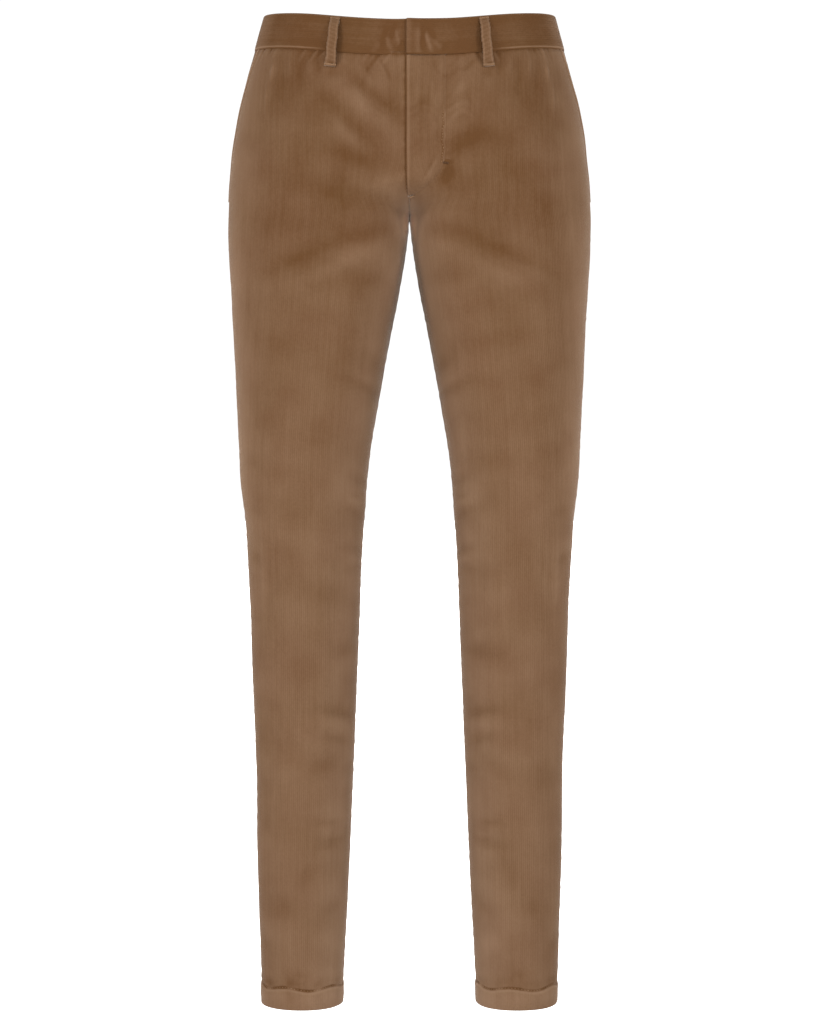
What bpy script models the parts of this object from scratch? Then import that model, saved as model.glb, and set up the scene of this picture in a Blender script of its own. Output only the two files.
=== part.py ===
"""Slim corduroy trousers, filled out as worn, with an open waist and two open hems.

Metres, +Z up. The front faces -Y and +X is the wearer's left. The origin is the middle of the
waist opening, level with the waistband's top edge at the side seams.

Every piece is a closed wall of cloth between two grids of points. The grids are read from one
surface, the outside of the cloth: at each level half the body is an oval of four quarters, which
meet at the side seam, at the crest of the front, at the inseam and at the crest of the back.
Above the crotch the centre plane cuts that oval, and the cut is the rise seam.
"""

import math

import bmesh
import bpy
import numpy as np

MM = 0.001

# ---- Cloth and seams ----
WALL = 1.6 * MM
SEAM_GAP = 0.3 * MM
HEM_WALL = 3.0 * MM
HEM_PROUD = 0.4 * MM
HEM_GROOVE = 0.7 * MM
CREASE_DEGREES = 50

# ---- Levels, measured down from the waistband's top edge at the sides ----
CROTCH = -212 * MM
HEM = -1035.5 * MM
HEM_STITCH = HEM + 22 * MM

# ---- The outside of the left half, a row for each level, in millimetres ----
SECTION_COLUMNS = ("level", "outer", "inner", "front", "back", "seam", "crest")
SECTIONS = (
    (-1050, 155.6, 70.2, -50.0, 66.0, 8.0, 112.5),
    (-1035, 155.8, 70.1, -50.0, 66.0, 8.0, 112.5),
    (-999, 156.3, 69.2, -49.0, 66.5, 8.5, 112.5),
    (-937, 158.2, 65.8, -48.5, 68.0, 9.0, 112.0),
    (-874, 160.3, 62.8, -49.5, 69.5, 9.0, 111.5),
    (-790, 160.7, 59.2, -53.0, 70.5, 7.0, 109.5),
    (-748, 162.2, 57.3, -56.0, 70.0, 5.0, 109.5),
    (-706, 164.0, 55.7, -60.5, 68.5, 2.0, 109.5),
    (-664, 165.1, 53.9, -66.0, 65.5, -2.0, 109.5),
    (-622, 166.0, 52.2, -72.0, 61.5, -7.0, 109.0),
    (-580, 168.0, 50.6, -78.5, 58.0, -12.0, 109.0),
    (-539, 170.2, 48.2, -84.0, 57.5, -15.0, 109.5),
    (-515, 172.2, 46.4, -86.3, 59.0, -15.4, 110.0),
    (-494, 175.2, 45.0, -88.2, 61.5, -15.0, 110.0),
    (-455, 177.5, 41.0, -91.0, 67.0, -13.0, 109.0),
    (-413, 179.6, 34.0, -93.5, 74.0, -10.0, 106.5),
    (-371, 181.6, 26.7, -95.5, 81.0, -7.0, 104.0),
    (-329, 183.8, 18.8, -97.0, 88.5, -3.0, 101.0),
    (-287, 186.4, 10.5, -99.0, 97.0, 1.0, 98.5),
    (-245, 189.0, 3.8, -101.5, 106.5, 4.0, 96.5),
    (-212, 190.0, 0.2, -104.5, 115.5, 6.0, 94.0),
    (-180, 189.0, 0.2, -108.5, 124.0, 6.0, 84.0),
    (-151, 186.4, 0.2, -111.0, 127.5, 5.0, 71.0),
    (-120, 182.0, 0.2, -112.0, 127.0, 4.0, 55.0),
    (-90, 175.6, 0.2, -112.0, 124.0, 3.0, 39.0),
    (-67, 169.6, 0.2, -111.0, 120.0, 2.0, 27.0),
    (-37, 161.2, 0.2, -109.0, 114.0, 1.0, 14.0),
    (0, 151.6, 0.2, -106.0, 108.5, 0.0, 7.0),
    (25, 146.0, 0.2, -104.0, 105.5, 0.0, 5.0),
)
TABLE = dict(zip(SECTION_COLUMNS, np.array(SECTIONS).T * MM))
ROUNDNESS = 2.15
CENTRE_CLEAR = 0.2 * MM

# ---- How finely the surface is read, and how its turn at the crotch is softened ----
QUARTER_STEPS = 60
GRADIENT_STEP = 0.25 * MM
EVENED_OVER = 60 * MM
EVENED_STEPS = 13
END_POWER = 5
SOFTENED_OVER = 15 * MM
SOFT_STEPS = (-1.0, -0.5, 0.0, 0.5, 1.0)
SOFT_WEIGHTS = (0.12, 0.23, 0.30, 0.23, 0.12)

# ---- The rise seams: how each curves from the crotch up to the crest of the body ----
FRONT, BACK = "front", "back"
RISE_HEIGHT = {FRONT: 64 * MM, BACK: 108 * MM}
RISE_SQUARENESS = {FRONT: 1.8, BACK: 1.75}
CLEFT_SHARE = {FRONT: 0.008, BACK: 0.028}

# ---- The waistline dips at the front, swells between there and the side, climbs at the back ----
FRONT_DIP = 17.5 * MM
BACK_CLIMB = 10 * MM
DIP_POWER = {FRONT: 1.7, BACK: 2.0}
FRONT_SWELL = 2.4 * MM
BAND_NARROWS = 3.0 * MM
TILT_FADES_AT = -175 * MM

# ---- Waistband ----
BAND_HEIGHT = 37 * MM
BAND_WALL = 2.6 * MM
BAND_PROUD = 0.7 * MM
BAND_LAP = 3 * MM
BAND_UNDERLAP = 14 * MM
LAP_LIFT = 1.6 * MM
LAP_SINK = 1.4 * MM
LAP_RAMP = 34 * MM

# ---- Slanted hip pocket ----
POCKET_TOP_WIDTH = 31 * MM
POCKET_END = -195 * MM
POCKET_END_WIDTH = 3 * MM
FACING_UNDERLAP = 13 * MM
FACING_DROP = WALL + 2.5 * SEAM_GAP
FACING_WALL = 1.2 * MM
FACING_SHARES = (0, 0.35, 0.7, 0.88)
FACING_SINKS = (0, 0.2, 0.7, 1)

# ---- Fly placket on the left front ----
FLY_WIDTH = 37.5 * MM
FLY_LAP = 3.5 * MM
FLY_STRAIGHT_TO = -146 * MM
FLY_END = -186 * MM
FLY_TIP_WIDTH = 4 * MM
FLY_WALL = 1.2 * MM

# ---- Belt loops ----
LOOP_WIDTH = 10 * MM
LOOP_WALL = 1.8 * MM
LOOP_DROP = 13 * MM
LOOP_BOW = 8.5 * MM
LOOP_SQUARENESS = 4.5
LOOP_TACK = 2.5 * MM
LOOP_TOP_INSET = 1 * MM
LOOP_PLACES = {
    # name: (side, face, share of the way from the side seam to the centre seam)
    "belt_loop_front_left": (1, FRONT, 0.610),
    "belt_loop_front_right": (-1, FRONT, 0.610),
    "belt_loop_back_left": (1, BACK, 0.660),
    "belt_loop_back_right": (-1, BACK, 0.660),
    "belt_loop_centre_back": (1, BACK, 1.0),
}

# ---- The largest soft folds: place, direction, size and depth, on one or both sides ----
FOLD_COLUMNS = ("side", "face", "level", "share", "angle", "length", "width", "depth")
FOLDS = (
    # side 0 means both; angle in degrees, 0 runs round the leg; the rest in millimetres
    (0, FRONT, -112, 0.60, 52, 60, 26, 2.6),
    (0, FRONT, -128, 0.84, 58, 52, 18, -1.8),
    (0, FRONT, -262, 0.86, -28, 55, 16, -2.2),
    (0, FRONT, -330, 0.88, -32, 60, 15, -2.0),
    (1, FRONT, -474, 0.80, -24, 52, 15, -2.6),
    (-1, FRONT, -466, 0.82, -26, 48, 15, -2.4),
    (1, FRONT, -500, 0.76, -20, 58, 15, 2.2),
    (-1, FRONT, -492, 0.77, -22, 54, 15, 2.2),
    (1, FRONT, -528, 0.84, -12, 46, 14, -2.4),
    (-1, FRONT, -532, 0.82, -10, 50, 14, -2.4),
    (0, FRONT, -520, 0.10, 16, 44, 15, -2.0),
    (1, FRONT, -640, 0.86, 14, 44, 14, -2.2),
    (-1, FRONT, -646, 0.84, 12, 48, 14, -2.2),
    (1, FRONT, -722, 0.82, 10, 46, 14, -1.8),
    (-1, FRONT, -716, 0.84, 12, 44, 14, -1.8),
    (0, BACK, -236, 0.72, 18, 70, 16, -3.0),
    (0, BACK, -268, 0.66, 14, 74, 17, 2.4),
    (1, BACK, -508, 0.52, 6, 70, 15, -3.4),
    (-1, BACK, -502, 0.50, -5, 72, 15, -3.4),
    (0, BACK, -536, 0.46, 4, 74, 15, 2.6),
    (1, BACK, -566, 0.54, -7, 66, 15, -3.0),
    (-1, BACK, -560, 0.52, 8, 68, 15, -3.0),
    (0, BACK, -960, 0.50, 5, 60, 16, -2.2),
    (0, BACK, -985, 0.52, -4, 60, 14, 1.6),
)
FOLD_MARGIN = 12 * MM

# ---- Grids ----
ROW_LEVELS_MM = (
    -52, -68, -86, -104, -122, -140, -155, -169, -182, -192, -200, -206, -210, -212, -215,
    -222, -232, -244, -258, -276, -297, -319, -342, -366, -390, -414, -436, -456, -472, -488,
    -504, -520, -536, -552, -570, -590, -612, -636, -662, -690, -720, -752, -786, -824, -864,
    -904, -934, -956, -974, -990, -1001,
)
BAND_ROWS = 4
BAND_COLUMNS = 20
LAP_COLUMNS = 6
LOOP_ROWS = 15
FLY_LEVELS_MM = (-146, -162, -175, -178.5, -184.5, -186)
LEG_COLUMNS = 12
HEM_LEVELS = (HEM_STITCH + 3 * MM, HEM_STITCH + 0.8 * MM, HEM_STITCH, HEM_STITCH - 1.6 * MM, HEM)
HEM_GROOVE_REACH = 1 * MM
POCKET_STEP = 0.4 * MM
FACING_ROWS = 12

# ---- Colours: the band's ribs lie across the light, so it reads darker than the legs ----
LEG_BROWN = (0.223, 0.122, 0.067, 1.0)
BAND_BROWN = (0.168, 0.087, 0.044, 1.0)
TRIM_BROWN = (0.235, 0.133, 0.074, 1.0)
CLOTH_ROUGHNESS = 0.9


# ---- The surface ----
def through(levels, values, at):
    """The smooth curve through a table's points, read at the given levels."""
    slopes = np.gradient(values, levels)
    i = np.clip(np.searchsorted(levels, at) - 1, 0, len(levels) - 2)
    step = levels[i + 1] - levels[i]
    s = (at - levels[i]) / step
    start = (1 + 2 * s) * (1 - s) ** 2 * values[i] + s * (1 - s) ** 2 * step * slopes[i]
    end = s * s * (3 - 2 * s) * values[i + 1] + s * s * (s - 1) * step * slopes[i + 1]
    return start + end


def read(column, level):
    """One column of SECTIONS at the given levels, in metres."""
    return through(TABLE["level"], TABLE[column], level)


def rise_share(level, face):
    """How far the rise seam has come from the inseam to the crest: 0 up to the crotch."""
    p = RISE_SQUARENESS[face]
    s = np.clip((level - CROTCH) / RISE_HEIGHT[face], 0, 1)
    crest_share = read("crest", level) / read("crest", CROTCH)
    top = 1 - CLEFT_SHARE[face] * np.clip(crest_share, 0, 1) ** 2
    return top * (1 - (1 - s) ** p) ** (1 / p)


def oval(level, face):
    """The sizes of a face's two quarter ovals at a level: middle, outer, inner and depth."""
    seam = read("seam", level)
    depth = read(face, level) - seam
    crest = read("crest", level)
    inner_edge = np.maximum(read("inner", level), CENTRE_CLEAR)
    last = np.arccos(rise_share(level, face) ** (ROUNDNESS / 2))
    inner_reach = (crest - inner_edge) / np.sin(last) ** (2 / ROUNDNESS)
    return crest, seam, read("outer", level) - crest, inner_reach, depth, last


def row_line(level, face):
    """The outside of half a body at each level, from the side seam to the centre or inseam."""
    crest, seam, reach, inner_reach, depth, last = (v[..., None] for v in oval(level, face))
    turn = np.linspace(0, 1, QUARTER_STEPS)
    power = 2 / ROUNDNESS
    a = turn * math.pi / 2
    b = turn * last
    x_out = crest + reach * np.cos(a).clip(0) ** power
    y_out = seam + depth * np.sin(a) ** power
    x_in = crest - inner_reach * np.sin(b) ** power
    y_in = seam + depth * np.cos(b).clip(0) ** power
    x = np.concatenate([x_out, x_in[..., 1:]], axis=-1)
    y = np.concatenate([y_out, y_in[..., 1:]], axis=-1)
    return x, y


def lengths(x, y):
    """Distance along each line, from its start."""
    steps = np.hypot(np.diff(x), np.diff(y))
    return np.concatenate([np.zeros_like(x[..., :1]), np.cumsum(steps, axis=-1)], axis=-1)


def row_length(level, face):
    """Length of a face's row at each level."""
    return lengths(*row_line(np.asarray(level, float), face))[..., -1]


def evened_length(level, face):
    """The row length with its jump at the crotch spread over the levels about it."""
    steps = np.linspace(-1, 1, EVENED_STEPS)
    weights = (1 - steps**2) ** 2
    near = np.asarray(level, float)[..., None] + steps * EVENED_OVER
    return row_length(np.clip(near, HEM, 0), face) @ weights / weights.sum()


def steepness(x, y, level, face):
    """The oval's implicit function, 1 on the surface and larger outside it."""
    crest, seam, reach, inner_reach, depth, _ = oval(level, face)
    across = np.where(x >= crest, (x - crest) / reach, (crest - x) / inner_reach)
    along = np.abs((y - seam) / depth)
    return np.abs(across) ** ROUNDNESS + along**ROUNDNESS


def outward(points, face):
    """The unit normals of the surface at points on it."""
    x, y, z = np.moveaxis(points, -1, 0)
    h = GRADIENT_STEP
    gradient = np.stack(
        [
            steepness(x + h, y, z, face) - steepness(x - h, y, z, face),
            steepness(x, y + h, z, face) - steepness(x, y - h, z, face),
            steepness(x, y, z + h, face) - steepness(x, y, z - h, face),
        ],
        axis=-1,
    )
    return gradient / np.linalg.norm(gradient, axis=-1, keepdims=True)


def fold_height(side, face, level, along, length):
    """How far the folds lift the cloth at places given by level and distance along the row."""
    height = np.zeros_like(level)
    for row in FOLDS:
        fold = dict(zip(FOLD_COLUMNS, row))
        if fold["face"] != face or fold["side"] not in (0, side):
            continue
        turn = math.radians(fold["angle"])
        across = along - fold["share"] * length
        up = level - fold["level"] * MM
        u = (across * math.cos(turn) + up * math.sin(turn)) / (fold["length"] * MM)
        w = (up * math.cos(turn) - across * math.sin(turn)) / (fold["width"] * MM)
        height += fold["depth"] * MM * np.exp(-(u**2) - w**2)
    under_fly = (face == FRONT) & (level > FLY_END - FOLD_MARGIN)
    last = length - np.where(under_fly, FLY_WIDTH + FOLD_MARGIN / 2, 0)
    near_edge = np.clip(np.minimum(along, last - along) / FOLD_MARGIN, 0, 1)
    return height * near_edge


def on_rows(level, share, face):
    """Points of the left half before folds, and their distances along rows of known length."""
    x_line, y_line = row_line(level, face)
    run = lengths(x_line, y_line)
    even = evened_length(level, face)
    along = even * share + (run[..., -1] - even) * share**END_POWER
    points = np.empty(level.shape + (3,))
    for place in np.ndindex(level.shape):
        points[place] = (
            np.interp(along[place], run[place], x_line[place]),
            np.interp(along[place], run[place], y_line[place]),
            level[place],
        )
    return points, along, run[..., -1]


def surface(side, face, level, share):
    """Points and normals of the cloth's outside at levels and shares of the row's length."""
    level, share = np.broadcast_arrays(np.asarray(level, float), np.asarray(share, float))
    z = level + waist_tilt(face, share, level) * tilt_fade(level)
    spread = SOFTENED_OVER * (1 - share**4)
    points = np.zeros(z.shape + (3,))
    for step, weight in zip(SOFT_STEPS, SOFT_WEIGHTS):
        points += weight * on_rows(z + step * spread, share, face)[0]
    _, along, length = on_rows(z, share, face)
    normals = outward(points, face)
    points = points + normals * fold_height(side, face, z, along, length)[..., None]
    mirror = np.array([side, 1, 1])
    return points * mirror, normals * mirror


def waist_tilt(face, share, level):
    """How far the waistline leaves its level; its seam is also lifted at the side seams."""
    share = np.clip(share, 0, 1)
    most, swell = (-FRONT_DIP, FRONT_SWELL) if face == FRONT else (BACK_CLIMB, 0.0)
    tilt = most * np.sin(share * math.pi / 2) ** DIP_POWER[face]
    tilt = tilt + swell * np.sin(share * math.pi) ** 2
    return tilt + BAND_NARROWS * (1 - share**2) ** 2 * np.clip(-level / BAND_HEIGHT, 0, 1)


def tilt_fade(level):
    """The tilt is whole down to the waist seam and gone by TILT_FADES_AT."""
    s = np.clip((level - TILT_FADES_AT) / (-BAND_HEIGHT - TILT_FADES_AT), 0, 1)
    return s * s * (3 - 2 * s)


# ---- Solids ----
def corduroy(name, colour):
    """A piece's own corduroy."""
    material = bpy.data.materials.new(f"{name}_corduroy")
    material.use_nodes = True
    shader = material.node_tree.nodes["Principled BSDF"]
    shader.inputs["Base Color"].default_value = colour
    shader.inputs["Roughness"].default_value = CLOTH_ROUGHNESS
    shader.inputs["Metallic"].default_value = 0.0
    material.diffuse_color = colour
    return material


def wall(name, grids, colour, collection):
    """A closed wall of cloth between an outer and an inner grid of as many rows and columns."""
    mesh = bmesh.new()
    out, inn = ([[mesh.verts.new(point) for point in row] for row in grid] for grid in grids)
    rows, columns = len(out), len(out[0])
    for i in range(rows - 1):
        for j in range(columns - 1):
            for grid in (out, inn):
                mesh.faces.new((grid[i][j], grid[i + 1][j], grid[i + 1][j + 1], grid[i][j + 1]))
    around = [(0, j) for j in range(columns)] + [(i, columns - 1) for i in range(1, rows)]
    around += [(rows - 1, j) for j in range(columns - 2, -1, -1)]
    around += [(i, 0) for i in range(rows - 2, 0, -1)]
    for (i, j), (k, m) in zip(around, around[1:] + around[:1]):
        mesh.faces.new((out[i][j], out[k][m], inn[k][m], inn[i][j]))
    bmesh.ops.recalc_face_normals(mesh, faces=mesh.faces)
    data = bpy.data.meshes.new(name)
    mesh.to_mesh(data)
    mesh.free()
    data.shade_smooth()
    data.set_sharp_from_angle(angle=math.radians(CREASE_DEGREES))
    data.materials.append(corduroy(name, colour))
    piece = bpy.data.objects.new(name, data)
    collection.objects.link(piece)
    return piece


def between(points, normals, outer_offset, inner_offset):
    """The two grids of a wall whose faces lie at these offsets from the surface."""
    outer_offset = np.broadcast_to(outer_offset, points.shape[:2])[..., None]
    inner_offset = np.broadcast_to(inner_offset, points.shape[:2])[..., None]
    return points + normals * outer_offset, points + normals * inner_offset


def pocket_width(level):
    """Distance from the side seam to the pocket's slanted edge, 0 below the pocket."""
    top = -BAND_HEIGHT
    s = (level - POCKET_END) / (top - POCKET_END)
    slant = POCKET_END_WIDTH + (POCKET_TOP_WIDTH - POCKET_END_WIDTH) * s
    return np.where(level > POCKET_END, slant, 0.0)


def leg_rows(face):
    """Levels of a leg piece's rows, from the waist seam down to the hem."""
    levels = [level * MM for level in ROW_LEVELS_MM]
    if face == FRONT:
        levels += [level * MM for level in FLY_LEVELS_MM]
        levels += [POCKET_END + POCKET_STEP, POCKET_END - POCKET_STEP]
    return np.array(sorted([-BAND_HEIGHT - SEAM_GAP, *levels, *HEM_LEVELS], reverse=True))


def hem_outside(level):
    """The outside's offset: proud over the turned hem, sunk at its stitch line."""
    at_stitch = np.abs(level - HEM_STITCH) < HEM_GROOVE_REACH
    return np.where(at_stitch, -HEM_GROOVE, np.where(level < HEM_STITCH, HEM_PROUD, 0.0))


def side_name(side):
    """The wearer's left is +X."""
    return "left" if side > 0 else "right"


def leg_piece(side, face, collection):
    """A front or a back of one leg, from the waist seam to the hem."""
    levels = leg_rows(face)
    length = row_length(levels, face)
    start = np.full_like(levels, SEAM_GAP / 2)
    if face == FRONT:
        start = np.maximum(start, pocket_width(levels))
    end = length - SEAM_GAP / 2
    step = np.linspace(0, 1, LEG_COLUMNS + 1)
    share = (start[:, None] + (end - start)[:, None] * step) / length[:, None]
    points, normals = surface(side, face, levels[:, None], share)
    outside = hem_outside(levels)[:, None]
    turned_in = levels < HEM_STITCH + HEM_GROOVE_REACH
    inside = np.where(turned_in, HEM_PROUD - HEM_WALL, -WALL)[:, None]
    grids = between(points, normals, outside, inside)
    return wall(f"{face}_{side_name(side)}", grids, LEG_BROWN, collection)


def pocket_facing(side, collection):
    """The hip piece in the pocket mouth: flush at the side seam, under the front's edge beyond."""
    levels = np.linspace(-BAND_HEIGHT - SEAM_GAP, POCKET_END + 2 * SEAM_GAP, FACING_ROWS)
    length = row_length(levels, FRONT)
    mouth = pocket_width(levels)
    visible = SEAM_GAP / 2 + (mouth - SEAM_GAP)[:, None] * np.array(FACING_SHARES)
    tucked = mouth[:, None] + FACING_UNDERLAP * np.array([0.0, 0.5, 1.0])
    share = np.concatenate([visible, tucked], axis=1) / length[:, None]
    drop = -FACING_DROP * np.array([*FACING_SINKS, 1, 1, 1])
    points, normals = surface(side, FRONT, levels[:, None], share)
    grids = between(points, normals, drop, drop - FACING_WALL)
    return wall(f"pocket_facing_{side_name(side)}", grids, LEG_BROWN, collection)


def band_half(side, collection):
    """Half the waistband, centre front to centre back; the left half laps over the right."""
    levels = np.linspace(0, -BAND_HEIGHT, BAND_ROWS)
    front_length = float(row_length(0.0, FRONT))
    back_length = float(row_length(0.0, BACK))
    past_centre = -BAND_LAP if side > 0 else -BAND_UNDERLAP
    lap_flat = BAND_UNDERLAP if side > 0 else BAND_LAP
    from_centre = np.concatenate(
        [
            np.linspace(past_centre, BAND_UNDERLAP, LAP_COLUMNS)[:-1],
            np.linspace(BAND_UNDERLAP, front_length, BAND_COLUMNS)[:-1],
        ]
    )
    columns, lifts = [], []
    for distance in from_centre:
        here = -side if distance < 0 else side
        columns.append(surface(here, FRONT, levels, 1 - abs(distance) / front_length))
        lap = np.clip(1 - (distance - lap_flat) / LAP_RAMP, 0, 1)
        lifts.append((LAP_LIFT if side > 0 else -LAP_SINK) * lap * lap * (3 - 2 * lap))
    for part in np.linspace(0, 1 - SEAM_GAP / 2 / back_length, BAND_COLUMNS):
        columns.append(surface(side, BACK, levels, part))
        lifts.append(0.0)
    points, normals = (np.stack(grid, axis=1) for grid in zip(*columns))
    lift = BAND_PROUD + np.array(lifts)[None, :]
    grids = between(points, normals, lift, lift - BAND_WALL)
    return wall(f"waistband_{side_name(side)}", grids, BAND_BROWN, collection)


def fly_placket(collection):
    """The J-shaped placket on the left front; its straight edge laps over the right front."""
    levels = leg_rows(FRONT)
    levels = levels[levels > FLY_END - SEAM_GAP]
    turned = np.clip((levels - FLY_STRAIGHT_TO) / (FLY_END - FLY_STRAIGHT_TO), 0, 1)
    width = np.maximum(FLY_WIDTH * np.sqrt(1 - turned**2), FLY_TIP_WIDTH)
    lapped_over = np.broadcast_to([-FLY_LAP, -FLY_LAP / 2], (len(levels), 2))
    from_centre = np.concatenate([lapped_over, width[:, None] * np.linspace(0, 1, 6)], axis=1)
    length = row_length(levels, FRONT)[:, None]
    share = 1 - np.abs(from_centre) / length
    points, normals = surface(1, FRONT, levels[:, None], share)
    right_points, right_normals = surface(-1, FRONT, levels[:, None], share)
    lapped = (from_centre < 0)[..., None]
    points = np.where(lapped, right_points, points)
    normals = np.where(lapped, right_normals, normals)
    grids = between(points, normals, SEAM_GAP + FLY_WALL, SEAM_GAP)
    return wall("fly", grids, LEG_BROWN, collection)


def belt_loop(name, side, face, share, collection):
    """A strap bowed off the waistband, its ends tacked at the band's top and below its seam."""
    top, bottom = -LOOP_TOP_INSET, -BAND_HEIGHT - LOOP_DROP
    levels = np.linspace(top, bottom, LOOP_ROWS)
    free = np.clip((levels - bottom - LOOP_TACK) / (top - bottom - 2 * LOOP_TACK), 0, 1)
    bow = LOOP_BOW * (1 - np.abs(2 * free - 1) ** LOOP_SQUARENESS)
    length = float(row_length(0.0, face))
    half = LOOP_WIDTH / 2 / length
    columns = []
    for part in (share - half, share, share + half):
        here = side if part <= 1 else -side
        columns.append(surface(here, face, levels, min(part, 2 - part)))
    points = np.stack([points for points, _ in columns], axis=1)
    middle_normals = columns[1][1]
    normals = np.stack([middle_normals] * len(columns), axis=1)
    seat = SEAM_GAP + BAND_PROUD * np.clip((levels - bottom) / LOOP_DROP, 0, 1)
    base = (seat + bow)[:, None]
    return wall(name, between(points, normals, base + LOOP_WALL, base), TRIM_BROWN, collection)


def clear_scene():
    """Empties the scene of its objects."""
    for thing in list(bpy.data.objects):
        bpy.data.objects.remove(thing)


def main():
    """Builds every piece of the trousers in one collection."""
    clear_scene()
    trousers = bpy.data.collections.new("corduroy_trousers")
    bpy.context.scene.collection.children.link(trousers)
    for side in (1, -1):
        for face in (FRONT, BACK):
            leg_piece(side, face, trousers)
        pocket_facing(side, trousers)
        band_half(side, trousers)
    fly_placket(trousers)
    for name, (side, face, share) in LOOP_PLACES.items():
        belt_loop(name, side, face, share, trousers)


main()
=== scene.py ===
"""Looks of slim corduroy trousers: ribbed shells of cloth, stitches, a studio and a camera.

Metres, +Z up, the front faces -Y and +X is the wearer's left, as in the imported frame. Every
shell is made from one surface, the outside of the cloth, and rides where its CAD node lies.
Distances along a row of cloth run from the side seam to the centre or the inseam.
"""

import logging
import math
from dataclasses import dataclass, field
from enum import Enum
from typing import NamedTuple

import bmesh
import bpy
import numpy as np
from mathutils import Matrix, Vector


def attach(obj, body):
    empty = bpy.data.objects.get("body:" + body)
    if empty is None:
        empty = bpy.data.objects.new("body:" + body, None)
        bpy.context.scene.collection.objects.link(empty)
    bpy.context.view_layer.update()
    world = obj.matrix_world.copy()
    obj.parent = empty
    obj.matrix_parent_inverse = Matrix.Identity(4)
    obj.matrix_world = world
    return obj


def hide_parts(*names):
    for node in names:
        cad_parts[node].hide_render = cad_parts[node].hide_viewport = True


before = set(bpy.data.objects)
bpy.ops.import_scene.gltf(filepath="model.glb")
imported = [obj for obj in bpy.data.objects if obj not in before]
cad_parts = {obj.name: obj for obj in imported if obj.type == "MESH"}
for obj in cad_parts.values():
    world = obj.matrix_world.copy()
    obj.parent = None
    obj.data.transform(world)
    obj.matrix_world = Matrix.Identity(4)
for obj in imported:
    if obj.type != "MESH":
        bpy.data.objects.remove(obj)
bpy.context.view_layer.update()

LOG = logging.getLogger("trousers")
Array = np.ndarray
MM = 0.001


class Face(Enum):
    """The two faces of a trouser leg."""

    FRONT = "front"
    BACK = "back"


class Side(Enum):
    """The wearer's sides; the value is the sign of X."""

    LEFT = 1
    RIGHT = -1

    @property
    def word(self) -> str:
        """The side's name in lower case."""
        return self.name.lower()


# ---- Curves that everything else uses ----
def eased(value: Array, low: float, high: float) -> Array:
    """0 below low, 1 above high and a soft turn between them; low may be the larger."""
    s = np.clip((value - low) / (high - low), 0, 1)
    return s * s * (3 - 2 * s)


def hump(value: Array, middle: float, width: float) -> Array:
    """1 at the middle, falling away smoothly over a width."""
    return np.exp(-(((value - middle) / width) ** 2))


def rounded(from_edge: Array, radius: float) -> Array:
    """How far a rounded edge lies below its face, at distances from the edge."""
    inward = np.clip(1 - from_edge / radius, 0, 1)
    return radius * (1 - np.sqrt(1 - inward**2))


def turned(across: Array, up: Array, degrees: float) -> tuple:
    """Distances along and across a line that is turned by an angle, in degrees, from the level."""
    turn = math.radians(degrees)
    return across * math.cos(turn) + up * math.sin(turn), up * math.cos(turn) - across * math.sin(turn)


@dataclass(frozen=True)
class Ripple:
    """A wave over the cloth; its two rates are in radians for each metre."""

    strength: float
    up_rate: float
    along_rate: float = 0.0
    start: float = 0.0
    seeded: float = 0.0

    def at(self, level: Array, along: Array, seed: float) -> Array:
        """Its height at places, shifted by its share of a seed."""
        turn = level * self.up_rate + along * self.along_rate + self.start + self.seeded * seed
        return self.strength * np.sin(turn)


def rippled(waves: tuple, level: Array, along: Array = 0.0, seed: float = 0.0) -> Array:
    """The sum of some ripples at places."""
    return sum(wave.at(level, along, seed) for wave in waves)


def crossed(waves: tuple, level: Array, along: Array = 0.0, seed: float = 0.0) -> Array:
    """The product of some ripples at places."""
    return math.prod(wave.at(level, along, seed) for wave in waves)


@dataclass(frozen=True)
class Bump:
    """A soft ridge or trough across a distance; its place and width are in millimetres."""

    height: float
    place: float
    width: float

    def over(self, distance: Array) -> Array:
        """Its height at each distance."""
        return self.height * hump(distance, self.place * MM, self.width * MM)


@dataclass(frozen=True)
class Slope:
    """A soft rise from nothing to its full strength between two places, in millimetres."""

    strength: float
    none_at: float
    full_at: float

    def over(self, distance: Array) -> Array:
        """Its strength at each distance."""
        return self.strength * eased(distance, self.none_at * MM, self.full_at * MM)


def linked(name: str, data: bpy.types.ID) -> bpy.types.Object:
    """Makes an object of some data and puts it in the scene.

    Args:
        name: The object's name.
        data: Its mesh, lamp or camera.

    Returns:
        The object.
    """
    thing = bpy.data.objects.new(name, data)
    bpy.context.scene.collection.objects.link(thing)
    return thing


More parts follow.
